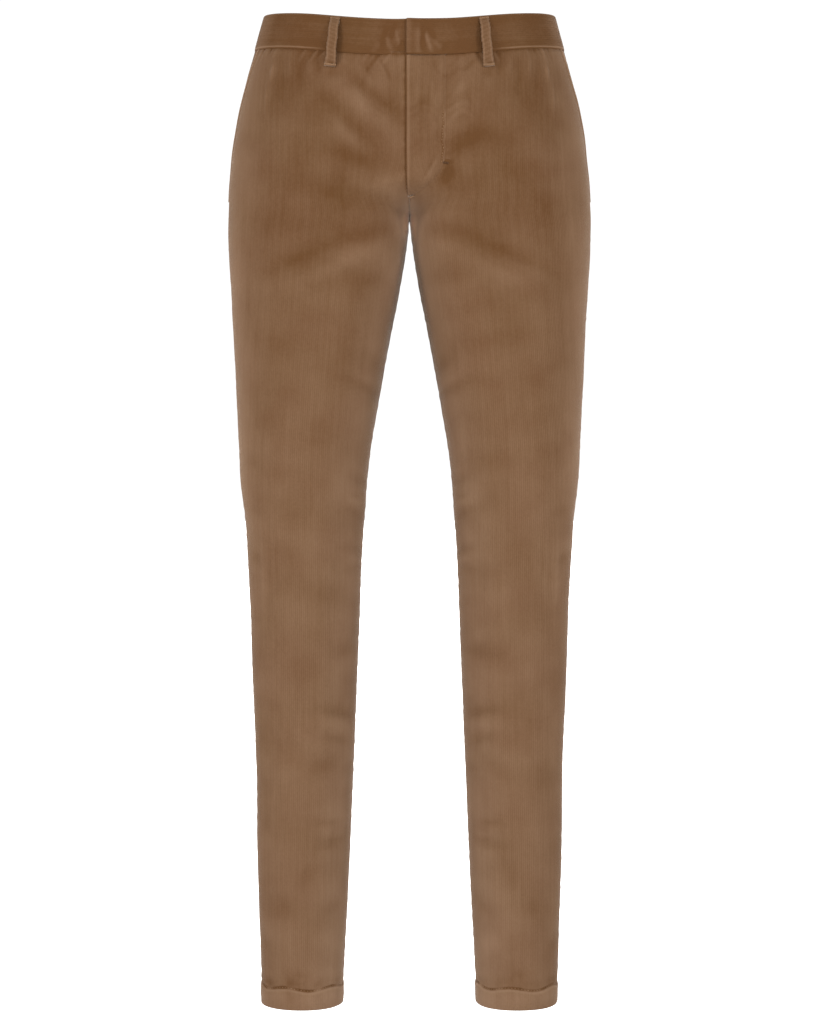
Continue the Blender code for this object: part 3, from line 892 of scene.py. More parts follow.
@dataclass(frozen=True)
class Thread:
    """Matt sewing thread; colours are linear."""

    name: str = "sewing_thread"
    dark: tuple = (0.190, 0.104, 0.052, 1)
    light: tuple = (0.300, 0.180, 0.102, 1)
    twists_per_metre: float = 1500
    roughness: float = 0.8
    specular: float = 0.2

    def material(self) -> bpy.types.Material:
        """Builds the finish, a little uneven along the thread.

        Returns:
            The material.
        """
        sheet = MaterialSheet(self.name)
        twist = sheet.noise(sheet.place, self.twists_per_metre)
        sheet.look(
            Base_Color=sheet.mixed(twist, self.dark, self.light),
            Roughness=self.roughness,
            Specular_IOR_Level=self.specular,
        )
        sheet.material.diffuse_color = self.light
        return sheet.material


# ---- Geometry Nodes ----
class Tree(NodeSheet):
    """A Geometry Nodes tree with named inputs, which ends in Realize Instances and Set Material."""

    def __init__(self, name: str, sizes: dict) -> None:
        """Starts a tree.

        Args:
            name: The tree's name.
            sizes: Its number inputs and their usual values.
        """
        super().__init__(bpy.data.node_groups.new(name, "GeometryNodeTree"))
        face = self.tree.interface
        face.new_socket("Geometry", in_out="INPUT", socket_type="NodeSocketGeometry")
        for size, value in sizes.items():
            face.new_socket(size, in_out="INPUT", socket_type="NodeSocketFloat").default_value = value
        face.new_socket("Material", in_out="INPUT", socket_type="NodeSocketMaterial")
        face.new_socket("Geometry", in_out="OUTPUT", socket_type="NodeSocketGeometry")
        self.given = self.add("NodeGroupInput").outputs

    def named(self, attribute: str, kind: str = "FLOAT") -> bpy.types.NodeSocket:
        """A named attribute of the mesh."""
        return self.add("GeometryNodeInputNamedAttribute", attribute, data_type=kind).outputs[0]

    def close(self, geometry: bpy.types.NodeSocket) -> None:
        """Ends the tree: instances become mesh and take the material.

        Args:
            geometry: What the tree has made.
        """
        real = self.add("GeometryNodeRealizeInstances", geometry).outputs[0]
        dressed = self.add("GeometryNodeSetMaterial", real, None, self.given["Material"])
        self.add("NodeGroupOutput", dressed.outputs[0])

    def applied(self, piece: bpy.types.Object, material: bpy.types.Material, **sizes: float) -> None:
        """Runs the tree on a piece and keeps the result as its plain mesh.

        Args:
            piece: The object.
            material: What it is made of.
            **sizes: Values for the tree's inputs, with underscores for spaces.
        """
        modifier = piece.modifiers.new(self.tree.name, "NODES")
        modifier.node_group = self.tree
        for item in self.tree.interface.items_tree:
            if item.item_type == "SOCKET" and item.in_out == "INPUT":
                if item.name == "Material":
                    modifier[item.identifier] = material
                elif item.name.replace(" ", "_") in sizes:
                    modifier[item.identifier] = sizes[item.name.replace(" ", "_")]
        depsgraph = bpy.context.evaluated_depsgraph_get()
        mesh = bpy.data.meshes.new_from_object(
            piece.evaluated_get(depsgraph), preserve_all_data_layers=True, depsgraph=depsgraph
        )
        piece.modifiers.remove(modifier)
        before, piece.data = piece.data, mesh
        mesh.name = piece.name
        bpy.data.meshes.remove(before)


class WaleTree(Tree):
    """Raises the wales: rounded ridges with narrow grooves, along the cloth's wale numbers."""

    def __init__(self) -> None:
        """Lays out the tree."""
        super().__init__("raised_wales", {"Ridge Power": 3.5, "Height": 1.0})
        number = self.named("wale")
        from_crown = self.maths("ABSOLUTE", self.maths("SUBTRACT", self.maths("FRACT", number), 0.5))
        fall = self.maths("POWER", self.maths("MULTIPLY", from_crown, 2.0), self.given["Ridge Power"])
        height = self.maths("MULTIPLY", self.maths("SUBTRACT", 1.0, fall), self.given["Height"])
        rise = self.add("ShaderNodeVectorMath", self.named("rise", "FLOAT_VECTOR"), operation="SCALE")
        self.feed(rise.inputs["Scale"], height)
        moved = self.add("GeometryNodeSetPosition", self.given["Geometry"])
        self.feed(moved.inputs["Offset"], rise.outputs[0])
        self.close(moved.outputs[0])


class StitchTree(Tree):
    """Lays stitches end to end along paths; each is a small round grain of thread."""

    # segments, rings and radius of the grain before it is stretched
    grain_shape: tuple = (6, 4, 0.5)

    def __init__(self) -> None:
        """Lays out the tree."""
        sizes = {"Pitch": 2.8 * MM, "Length": 2.3 * MM, "Width": 0.5 * MM, "Height": 0.45 * MM}
        super().__init__("laid_stitches", sizes)
        path = self.add("GeometryNodeMeshToCurve", self.given["Geometry"]).outputs[0]
        even = self.add("GeometryNodeResampleCurve", path, mode="LENGTH")
        self.feed(even.inputs["Length"], self.given["Pitch"])
        tangent = self.add("GeometryNodeInputTangent").outputs[0]
        align = "FunctionNodeAlignRotationToVector"
        led = self.add(align, None, None, tangent, axis="X").outputs[0]
        out = self.named("out", "FLOAT_VECTOR")
        stood = self.add(align, led, None, out, axis="Z", pivot_axis="X")
        grain = self.add("GeometryNodeMeshUVSphere", *self.grain_shape).outputs[0]
        smooth = self.add("GeometryNodeSetShadeSmooth", grain).outputs[0]
        size = self.add(
            "ShaderNodeCombineXYZ", self.given["Length"], self.given["Width"], self.given["Height"]
        )
        laid = self.add("GeometryNodeInstanceOnPoints", even.outputs[0])
        self.feed(laid.inputs["Instance"], smooth)
        self.feed(laid.inputs["Rotation"], stood.outputs[0])
        self.feed(laid.inputs["Scale"], size.outputs[0])
        self.close(laid.outputs[0])


# ---- Shells of cloth ----
@dataclass(frozen=True)
class Wales:
    """How the wales divide a piece of cloth."""

    pitch: float = 2.1 * MM
    steps: int = 3
    relief: float = 0.27 * MM
    edge_columns: tuple = (0.0, 0.45 * MM, 1.0 * MM, 1.7 * MM)
    snap: float = 0.14 * MM
    same_within: float = 1e-7

    def columns(self, start: Array, end: Array, middle: Array) -> tuple:
        """Places across the wales, three to a wale, with a few more along both edges.

        Args:
            start: Where each row starts.
            end: Where each row ends.
            middle: Where the middle wale's groove crosses each row.

        Returns:
            The places, a row each, and True where a place isn't the same as the one before it.
        """
        step = self.pitch / self.steps
        edge = np.array(self.edge_columns)
        low, high = (start + edge[-1])[:, None], (end - edge[-1])[:, None]
        first = int(np.floor(((low[:, 0] - middle) / step).min()))
        last = int(np.ceil(((high[:, 0] - middle) / step).max()))
        places = middle[:, None] + np.arange(first, last + 1) * step
        places = np.where(places < low + self.snap, low, places)
        places = np.where(places > high - self.snap, high, places)
        before, after = start[:, None] + edge[:-1], end[:, None] - edge[-2::-1]
        places = np.concatenate([before, places, after], axis=1)
        fresh = np.diff(places, axis=1, prepend=places[:, :1] - 1) > self.same_within
        return places, fresh


@dataclass(frozen=True)
class Cloth:
    """A finish and the tree that raises its wales."""

    finish: bpy.types.Material
    tree: WaleTree


@dataclass
class Shell:
    """A closed shell of cloth: a ribbed outside and a plain inside, joined round the edge.

    The outside's rows may go on past the inside's, round the edge at the last row.
    """

    name: str
    outside: Array
    fresh: Array
    inside: Array
    outside_at: Array
    inside_at: Array
    rise: Array
    wale: Array
    run: Array
    # painted light and shade, with some rubbing, added to the finish's lightness
    wear: Array
    inside_run: Array

    def _faces(self) -> list:
        """The outside, the inside and the strips that join them.

        Returns:
            The faces, as lists of vertex numbers.
        """
        ids = np.cumsum(self.fresh.ravel()).reshape(self.fresh.shape) - 1
        inner = int(ids[-1, -1]) + 1 + np.arange(self.inside[..., 0].size)
        inner = inner.reshape(self.inside.shape[:2])
        corners = np.stack([ids[:-1, :-1], ids[1:, :-1], ids[1:, 1:], ids[:-1, 1:]], axis=-1)
        corners = corners.reshape(-1, 4)
        top, bottom = corners[:, 0] == corners[:, 3], corners[:, 1] == corners[:, 2]
        faces = corners[~top & ~bottom].tolist()
        faces += corners[top & ~bottom][:, :3].tolist()
        faces += corners[bottom & ~top][:, [0, 1, 3]].tolist()
        plain = [inner[:-1, :-1], inner[:-1, 1:], inner[1:, 1:], inner[1:, :-1]]
        faces += np.stack(plain, axis=-1).reshape(-1, 4).tolist()
        for outer_edge, inner_edge in ((ids[:, 0], inner[:, 0]), (ids[:, -1], inner[:, -1])):
            for i in range(len(ids) - 1):
                joined = inner_edge[i : i + 2][::-1] if i < len(inner) - 1 else inner_edge[-1:]
                faces.append([*outer_edge[i : i + 2], *joined])
        for row in (0, -1):
            kept = self.fresh[row]
            first, at = ids[row][kept], self.outside_at[row][kept]
            faces += zipped(first, at, inner[row], self.inside_at[row])
        return faces

    def built(self) -> bpy.types.Object:
        """Makes the shell's object.

        Returns:
            The object, with its wale numbers as a UV map and as attributes.
        """
        kept = self.fresh
        points = np.concatenate([self.outside[kept], self.inside.reshape(-1, 3)])
        count, plain = int(kept.sum()), self.inside[..., 0].size
        mesh = bmesh.new()
        vertices = [mesh.verts.new(point) for point in points.tolist()]
        for corners in self._faces():
            mesh.faces.new([vertices[i] for i in corners])
        bmesh.ops.recalc_face_normals(mesh, faces=mesh.faces)
        data = bpy.data.meshes.new(self.name)
        mesh.to_mesh(data)
        mesh.free()
        inner_wale = self.inside_at / Wales.pitch
        flat = {
            "wale": np.concatenate([self.wale[kept], inner_wale.ravel()]),
            "wear": np.concatenate([self.wear[kept], np.zeros(plain)]),
            "inside": np.concatenate([np.zeros(count), np.ones(plain)]),
        }
        for name, values in flat.items():
            data.attributes.new(name, "FLOAT", "POINT").data.foreach_set("value", values)
        rise = np.concatenate([self.rise[kept], np.zeros((plain, 3))])
        data.attributes.new("rise", "FLOAT_VECTOR", "POINT").data.foreach_set("vector", rise.ravel())
        run = np.concatenate([self.run[kept], self.inside_run.ravel()]) / Wales.pitch
        corners = np.empty(len(data.loops), int)
        data.loops.foreach_get("vertex_index", corners)
        places = np.stack([flat["wale"], run], axis=1)[corners]
        data.uv_layers.new(name="wales").data.foreach_set("uv", places.ravel())
        data.shade_smooth()
        return linked(self.name, data)

    def ribbed(self, cloth: Cloth) -> bpy.types.Object:
        """Makes the shell's object, raises its wales and drops what only the tree reads.

        Args:
            cloth: What it is made of.

        Returns:
            The piece.
        """
        piece = self.built()
        cloth.tree.applied(piece, cloth.finish)
        for name in ("wale", "rise"):
            piece.data.attributes.remove(piece.data.attributes[name])
        return piece


def zipped(first: Array, first_at: Array, second: Array, second_at: Array) -> list:
    """Triangles between two edges with different numbers of points.

    Args:
        first: Vertex numbers along one edge.
        first_at: Their places along it.
        second: Vertex numbers along the other edge.
        second_at: Their places along it, on the same scale.

    Returns:
        The triangles, as lists of vertex numbers.
    """
    faces, i, j = [], 0, 0
    while i < len(first) - 1 or j < len(second) - 1:
        next_first = first_at[i + 1] if i < len(first) - 1 else math.inf
        next_second = second_at[j + 1] if j < len(second) - 1 else math.inf
        if next_first <= next_second:
            faces.append([first[i], first[i + 1], second[j]])
            i += 1
        else:
            faces.append([first[i], second[j + 1], second[j]])
            j += 1
    return faces


class Measured(Enum):
    """What a shaded place's distance across the leg is measured from."""

    INSIDE = "inner"
    OUTSIDE = "outer"
    MIDDLE = "middle"


@dataclass(frozen=True)
class Shaded:
    """A soft oval of painted light and shade, lighter or darker than the cloth about it, in millimetres."""

    measured: Measured
    strength: float
    level: float
    height: float
    place: float
    width: float

    def at(self, level: Array, across: dict) -> Array:
        """What it adds to the lightness of places."""
        beside = hump(across[self.measured], self.place * MM, self.width * MM)
        return self.strength * hump(level, self.level * MM, self.height * MM) * beside


@dataclass(frozen=True)
class Nap:
    """Painted light and shade, with some of the nap's own tone: darker over the hips, lighter along the
    inner leg and the side.
    """

    back_share: float = 0.4
    # darker nap and painted shade over the hips, painted shade over the thighs, painted light along the
    # inner and outer leg and down the lower leg
    hips: Slope = Slope(0.22, -310, -190)
    hips_spared: Bump = Bump(0.6, 0, 45)
    thigh: Bump = Bump(0.12, -330, 130)
    inner_leg: Slope = Slope(0.30, -150, -230)
    inner_line: Bump = Bump(1.0, 10, 20)
    inner_fades: Slope = Slope(0.15, -430, -600)
    outer_leg: Slope = Slope(0.42, -620, -300)
    outer_line: Bump = Bump(1.0, 0, 19)
    low_leg: Slope = Slope(0.05, -560, -900)
    # measured from, strength, level, height, place across, width
    # painted highlights along the outer side, and painted shade at its very edge over the hips
    on_both: tuple = (
        Shaded(Measured.OUTSIDE, 0.22, -480, 90, 0, 13),
        Shaded(Measured.OUTSIDE, 0.15, -175, 95, 27, 15),
        Shaded(Measured.OUTSIDE, -0.10, -140, 70, 0, 6),
    )
    # a painted pool of light at the fork and along the inner rims below it, where the legs shade each
    # other, and darker patches beside the centre and over the hips
    fainter_behind: tuple = (
        Shaded(Measured.INSIDE, 1.05, -238, 26, 0, 6),
        Shaded(Measured.INSIDE, 0.30, -276, 34, 0, 13),
        Shaded(Measured.MIDDLE, 1.15, -218, 15, 0, 15),
        Shaded(Measured.MIDDLE, 0.90, -218, 15, 0, 6),
        Shaded(Measured.MIDDLE, -0.10, -150, 55, 0, 34),
        Shaded(Measured.MIDDLE, -0.13, -104, 40, 106, 34),
    )

    def shade(self, body: Body, face: Face, points: Array) -> Array:
        """The painted light and shade, with the nap's own tone, added to the finish's lightness.

        Args:
            body: The body.
            face: The face that the cloth lies on.
            points: Places on the cloth.

        Returns:
            What to add at each.
        """
        x, z = np.abs(points[..., 0]), points[..., 2]
        across = {
            Measured.INSIDE: x - body.reach("inner", z),
            Measured.OUTSIDE: body.reach("outer", z) - x,
            Measured.MIDDLE: x,
        }
        front = 1.0 if face is Face.FRONT else self.back_share
        hips = self.hips.over(z) * (1 - self.hips_spared.over(x))
        inner_leg = self.inner_leg.over(z) * self.inner_line.over(across[Measured.INSIDE])
        inner_leg = inner_leg * (1 - self.inner_fades.over(z))
        outer_leg = self.outer_leg.over(z) * self.outer_line.over(across[Measured.OUTSIDE])
        alike = sum(place.at(z, across) for place in self.on_both)
        fainter = sum(place.at(z, across) for place in self.fainter_behind)
        legs = inner_leg + outer_leg + self.low_leg.over(z)
        return legs + alike + front * (fainter - self.thigh.over(z) - hips)


class Spots(NamedTuple):
    """Places on a piece: their heights and their distances from their rows' two ends."""

    level: Array
    start: Array
    end: Array


@dataclass
class UprightPiece:
    """A piece of cloth whose wales run up and down the leg, on rows of one level each."""

    body: Body
    side: Side
    face: Face
    cloth: Cloth
    wales: Wales = Wales()
    # painted light and shade, with the nap's own tone
    nap: Nap = Nap()
    plain_columns: int = 24
    closed_over: float = 0.0
    closed_above: tuple = (3 * MM, 1 * MM)
    edge_relief: float = 0.35
    relief_edge: float = 1.6 * MM
    # lift for one step of painted relief light: lighter on ridges, painted shade in hollows
    worn_per: float = 3 * MM
    folds_worn_per: float = 7 * MM
    crumples: dict = field(default_factory=lambda: {Side.LEFT: 0.36 * MM, Side.RIGHT: 0.12 * MM})
    crumple_fades: Slope = Slope(1.0, 80, 42)
    crumple_level: Bump = Bump(1.0, -96, 56)
    crumple_bends: tuple = (Ripple(1.4, 131, 0, 0.6), Ripple(1.9, 0, 167, 0, 2))
    crumple_waves: tuple = (Ripple(1.0, 118, 205, 0, 1), Ripple(1.0, 171, -96, 0, 1))

    @property
    def node(self) -> str:
        """The CAD node that the piece stands for."""
        return f"{self.face.value}_{self.side.word}"

    def levels(self) -> Array:
        """The heights of the rows."""
        raise NotImplementedError

    def span(self, level: Array) -> tuple:
        """Where each row starts and ends."""
        raise NotImplementedError

    def outer(self, at: Spots) -> Array:
        """How far the outside lies out of the body's surface."""
        raise NotImplementedError

    def crumpled(self, level: Array, from_centre: Array) -> Array:
        """Small irregular bumps beside the closure, where the cloth is drawn together.

        Args:
            level: Heights of the places.
            from_centre: Their distances from the centre seam.

        Returns:
            The lift, in metres.
        """
        near = self.crumple_fades.over(from_centre) * self.crumple_level.over(level)
        bend = rippled(self.crumple_bends, level, from_centre, self.side.value)
        return self.crumples[self.side] * near * crossed(self.crumple_waves, level, from_centre, bend)

    def inner(self, at: Spots) -> Array:
        """How far the inside lies out of it."""
        return np.full_like(at.start, -self.body.wall)

    def relief(self, at: Spots) -> Array:
        """The height of the wales, which lie down along the edges."""
        inward = eased(np.minimum(at.start, at.end), 0, self.relief_edge)
        return self.wales.relief * (self.edge_relief + (1 - self.edge_relief) * inward)

    def worn(self, at: Spots) -> Array:
        """Painted light from the relief: lighter on lifted edges and puckers, partly by rubbing, and
        painted shade in the sunk seams.
        """
        lift = self.outer(at)
        return (lift - np.median(lift)) / self.worn_per

    def rubbed_and_painted_light(self, at: Spots) -> Array:
        """How much lighter an opening's edge is, by rubbing and a painted highlight; most pieces have none.
        """
        return np.zeros_like(at.start)

    def _closed(self, points: Array, level: Array, from_end: Array) -> Array:
        """Brings the edge along the centre seam up to the other side's, so that no light passes.

        Args:
            points: Points of the outside or the inside.
            level: Their heights.
            from_end: Their distances from the centre seam or the inseam.

        Returns:
            The points, moved across where they lie beside the seam.
        """
        if not self.closed_over:
            return points
        above = eased(level, *(self.body.crotch - below for below in self.closed_above))
        beside = eased(from_end, self.closed_over, 0) * above
        short = points[:, -1:, 0] - self.side.value * self.body.centre_touch
        moved = points.copy()
        moved[..., 0] -= short * beside
        return moved

    def rim(self) -> tuple:
        """Heights, lifts and wale heights of the rows that turn round the lower edge."""
        return np.empty(0), np.empty(0), np.empty(0)

    def built(self) -> bpy.types.Object:
        """Builds the shell, raises its wales and dresses it.

        Returns:
            The piece.
        """
        body, face = self.body, self.face
        rim_levels, rim_lifts, rim_relief = self.rim()
        flat_levels = self.levels()
        level = np.concatenate([flat_levels, rim_levels])
        even, length = body.even_length(face, level), body.row_length(face, level)
        start, end = (edge * even / length for edge in self.span(level))
        places, fresh = self.wales.columns(start, end, body.grain_at(face, level))
        high = np.broadcast_to(level[:, None], places.shape)
        points, normals, lift = body.on(self.side, face, high, places / even[:, None])
        at = Spots(high, places - start[:, None], end[:, None] - places)
        offset, relief = self.outer(at), self.relief(at)
        if len(rim_levels):
            rows = len(flat_levels)
            offset[rows:] = offset[rows - 1] + rim_lifts[:, None]
            relief[rows:] *= rim_relief[:, None]
        kept = slice(0, len(flat_levels))
        share = np.linspace(0, 1, self.plain_columns + 1)
        plain = start[kept, None] + (end - start)[kept, None] * share
        plain_high = np.broadcast_to(flat_levels[:, None], plain.shape)
        back, back_normals, _ = body.on(self.side, face, plain_high, plain / even[kept, None])
        depth = self.inner(Spots(plain_high, plain - start[kept, None], end[kept, None] - plain))
        shell = Shell(
            name=f"{self.node}_cloth",
            outside=self._closed(points + normals * offset[..., None], high, at.end),
            fresh=fresh,
            inside=back + back_normals * depth[..., None],
            outside_at=places,
            inside_at=plain,
            rise=normals * relief[..., None],
            wale=(places - body.grain_at(face, level)[:, None]) / self.wales.pitch,
            run=-high,
            # painted light and shade from the folds' lift and the relief, painted highlights at edges and
            # the painted light of the nap table, with some rubbing
            wear=lift / self.folds_worn_per
            + self.worn(at)
            + self.rubbed_and_painted_light(at)
            + self.nap.shade(body, face, points),
            inside_run=-plain_high,
        )
        return shell.ribbed(self.cloth)


@dataclass
class LegPanel(UprightPiece):
    """A front or a back of one leg, from the waist seam to the turned hem."""

    # from level, to level, distance between rows, in millimetres
    row_bands: tuple = (
        (-33.8, -62, 2.2),
        (-62, -195, 3.2),
        (-195, -216, 2.0),
        (-216, -235, 3.2),
        (-235, -440, 4.8),
        (-440, -600, 3.8),
        (-600, -760, 4.6),
        (-760, -984, 6.2),
        (-984, -1007, 2.4),
        (-1007, -1020, 1.0),
        (-1020, -1034, 2.4),
    )
    pocket_top_width: float = 31 * MM
    pocket_end: float = -195 * MM
    pocket_end_width: float = 3 * MM
    pocket_step: float = 0.4 * MM
    seam_depth: float = 1.0 * MM
    seam_width: float = 1.1 * MM
    closed_over: float = 5 * MM
    pucker: float = 0.16 * MM
    hem_height: float = 22 * MM
    hem_proud: float = 0.4 * MM
    hem_wall: float = 3.0 * MM
    hem_inside: float = 2 * MM
    hem_rises: Slope = Slope(1.0, 1.0, -2.5)
    hem_groove: Bump = Bump(1.0, 0, 1.3)
    hem_hollow: Bump = Bump(0.55, 6, 5)
    hem_swell: Bump = Bump(0.5, -9, 7)
    hem_pull: float = 0.55
    hem_pull_slow: Ripple = Ripple(0.3, 0, 205)
    hem_pull_waves: tuple = (Ripple(0.3, 0, 331, 1), Ripple(1.0, 0, 97))
    hem_drift: Ripple = Ripple(1.6, 0, 118, 2)
    # painted highlight below the hem's stitch line and painted shade in it
    hem_pale: Bump = Bump(0.25, -2.4, 1.3)
    hem_dark: Bump = Bump(0.75, 0, 1.0)
    side_shift: float = 0.6
    rim_steps: int = 7
    seam_at_fork: Bump = Bump(0.85, -212, 18)
    beside_seam: Bump = Bump(1.0, 3, 4)
    pucker_waves: tuple = (Ripple(1.0, 610), Ripple(1.0, 377, 0, 0, 1.3))
    pocket_roll: Bump = Bump(0.9, 2.6, 2.4)
    pocket_edge: float = 0.9 * MM
    # the pocket's rolled edge: rubbing with a painted highlight, and painted shade in its stitch line
    pocket_pale: Bump = Bump(0.55, 1.6, 1.6)
    pocket_line: Bump = Bump(0.22, 6, 1.0)
    pocket_even: float = 0.65
    pocket_uneven: tuple = (Ripple(0.35, 263, 0, 0, 1), Ripple(1.0, 97))
    under_fly: float = 0.35 * MM
    # painted shadow that the fly's edge casts on the right front, and painted shade at the fly's turn
    lap_dark: Bump = Bump(0.40, 3.5, 1.4)
    lap_dark_from: Slope = Slope(1.0, -196, -190)
    turn_dark: Bump = Bump(1.1, -162, 1.4)
    turn_dark_across: Bump = Bump(1.0, 38.5, 3.5)
    waist_groove: Bump = Bump(1.0, -36.2, 1.9)
    gather_depth: float = 0.21 * MM
    gather_slant: float = 0.10
    gather_least: float = 15.0
    gather_reach: Ripple = Ripple(8, 0, 173, 0, 1)
    gather_ends: float = 2 * MM
    gather_swell: Ripple = Ripple(1.0, 0, 97, 1, 2.2)
    gather_bends: Ripple = Ripple(1.0, 0, 61)
    gather_waves: tuple = (Ripple(1.0, 0, 430, 0, 3), Ripple(0.7, 0, 857, 1))
    fork_flat: Bump = Bump(0.75, -212, 40)
    fork_flat_across: Bump = Bump(1.0, 0, 45)
    fly: "Fly | None" = None

    def levels(self) -> Array:
        """The heights of the rows, closer together where the cloth turns faster.

        Returns:
            The heights, from the waist down.
        """
        parts = [
            np.arange(0, 1, step / (top - bottom)) * (bottom - top) + top
            for top, bottom, step in self.row_bands
        ]
        at = np.concatenate(parts) * MM
        if self.face is Face.FRONT:
            at = np.append(at, [self.pocket_end + self.pocket_step, self.pocket_end - self.pocket_step])
        at = np.append(at, self.body.hem + self.hem_wall / 2)
        return np.sort(at)[::-1]

    def mouth(self, level: Array) -> Array:
        """Distance from the side seam to the pocket's slanted edge.

        Args:
            level: Heights of the places.

        Returns:
            The distances, 0 below the pocket.
        """
        top = -self.body.band_height
        s = (level - self.pocket_end) / (top - self.pocket_end)
        slant = self.pocket_end_width + (self.pocket_top_width - self.pocket_end_width) * s
        return np.where((level > self.pocket_end) & (self.face is Face.FRONT), slant, 0.0)

    def span(self, level: Array) -> tuple:
        """From the side seam, or the pocket's edge, to the centre seam or the inseam."""
        return self.mouth(level), self.body.row_length(self.face, level)

    def outer(self, at: Spots) -> Array:
        """The outside: sunk and puckered at seams, rolled at the pocket's edge, proud at the hem.

        Args:
            at: Places on the piece.

        Returns:
            The lift off the body's surface, in metres.
        """
        level, start, end = at
        at_pocket = self.mouth(level) > 0
        centre = hump(end, 0, self.seam_width)
        if self.face is Face.FRONT:
            centre = centre * (1 - self.seam_at_fork.over(level))
        seams = np.where(at_pocket, 0, hump(start, 0, self.seam_width)) + centre
        near = np.where(at_pocket, 0, self.beside_seam.over(start)) + self.beside_seam.over(end)
        wander = rippled(self.pucker_waves, level, seed=self.side.value)
        lift = -self.seam_depth * seams + self.pucker * wander * near
        roll = self.pocket_roll.over(start) * MM - rounded(start, self.pocket_edge)
        lift = lift + np.where(at_pocket, roll, 0)
        lift = lift + self._hem(at) + self._gathers(at)
        if self.face is Face.FRONT:
            lift = lift + self.crumpled(level, end)
        if self.fly:
            lift = lift - self.under_fly * self.fly.covers(level, end)
        return lift

    def worn(self, at: Spots) -> Array:
        """Painted shade in the hem's stitch line with a painted highlight at its edge, a painted shadow
        where the fly laps over, and painted shade at the fly's turn.

        Args:
            at: Places on the piece.

        Returns:
            What to add to the lightness.
        """
        up, pull = self._from_hem_line(at)
        # painted shade in the hem's stitch line, painted highlight beside it
        line = self.hem_pale.over(up) - pull * self.hem_dark.over(up)
        # painted shadow beside the fly's lap on the right front, painted shade at the turn on the left
        if self.face is Face.FRONT and not self.fly:
            line = line - self.lap_dark.over(at.end) * self.lap_dark_from.over(at.level)
        elif self.fly:
            line = line - self.turn_dark.over(at.level) * self.turn_dark_across.over(at.end)
        return super().worn(at) + line

    def rubbed_and_painted_light(self, at: Spots) -> Array:
        """Lighter, unevenly, along the pocket's rolled edge, by rubbing and a painted highlight, with
        painted shade in the stitch line inside it.

        Args:
            at: Places on the piece.

        Returns:
            What to add to the lightness.
        """
        uneven = self.pocket_even + crossed(self.pocket_uneven, at.level, seed=self.side.value)
        pale = uneven * self.pocket_pale.over(at.start) - self.pocket_line.over(at.start)
        return np.where(self.mouth(at.level) > 0, pale, 0)

    def _hem(self, at: Spots) -> Array:
        """The hem stands proud below its stitch line, which pulls the cloth in unevenly.

        Args:
            at: Places on the piece.

        Returns:
            The lift, in metres.
        """
        up, pull = self._from_hem_line(at)
        drawn = pull * (self.hem_swell.over(up) - self.hem_groove.over(up))
        drawn = drawn - (1 - pull) * self.hem_hollow.over(up)
        return self.hem_proud * self.hem_rises.over(up) + drawn * MM

    def _from_hem_line(self, at: Spots) -> tuple:
        """Where places lie from the hem's stitch line.

        Args:
            at: Places on the piece.

        Returns:
            How far they lie above it, and how hard the stitches pull there.
        """
        along = at.start + self.side_shift * self.side.value
        pull = self.hem_pull + self.hem_pull_slow.at(0, along, 0)
        up = at.level - self.body.hem - self.hem_height - self.drift(at.start)
        return up, pull + crossed(self.hem_pull_waves, 0, along)

    def drift(self, start: Array) -> Array:
        """How far the hem's stitch line wanders off its level."""
        return self.hem_drift.at(0, start + self.side_shift * self.side.value, 0) * MM

    def _gathers(self, at: Spots) -> Array:
        """Short upright puckers where the waist seam eases the cloth in.

        Args:
            at: Places on the piece.

        Returns:
            The lift, in metres.
        """
        side, under = self.side.value, at.level + self.body.band_height
        drawn = at.start + self.gather_slant * side * under
        reach = (self.gather_least + self.gather_reach.at(0, drawn, side)) * MM
        below = eased(under, -reach, -self.gather_ends)
        strength = self.gather_depth * (1 + self.gather_swell.at(0, at.start, side))
        bend = self.gather_bends.at(0, at.start, 0)
        waves = rippled(self.gather_waves, at.level, drawn, bend)
        return strength * waves * below - self.waist_groove.over(at.level) * MM

    def inner(self, at: Spots) -> Array:
        """The inside: one layer of cloth, and the turned layers at the hem.

        Args:
            at: Places on the piece.

        Returns:
            The lift, in metres.
        """
        turned_to = self.body.hem + self.hem_height
        layers = eased(at.level, turned_to + self.hem_inside, turned_to)
        return -self.body.wall - (self.hem_wall - self.hem_proud - self.body.wall) * layers

    def relief(self, at: Spots) -> Array:
        """The wales' height, little at the fork and none under the fly.

        Args:
            at: Places on the piece.

        Returns:
            The height, in metres.
        """
        height = super().relief(at)
        if self.face is Face.FRONT:
            height = height * (1 - self.fork_flat.over(at.level) * self.fork_flat_across.over(at.end))
        if self.fly:
            height = height * (1 - self.fly.covers(at.level, at.end))
        return height

    def rim(self) -> tuple:
        """The hem's fold, half round.

        Returns:
            Heights, lifts and shares of the wales' height.
        """
        turn = np.linspace(0, math.pi, self.rim_steps)[1:]
        radius = self.hem_wall / 2
        heights = self.body.hem + radius - radius * np.sin(turn)
        return heights, radius * (np.cos(turn) - 1), np.cos(turn).clip(0)


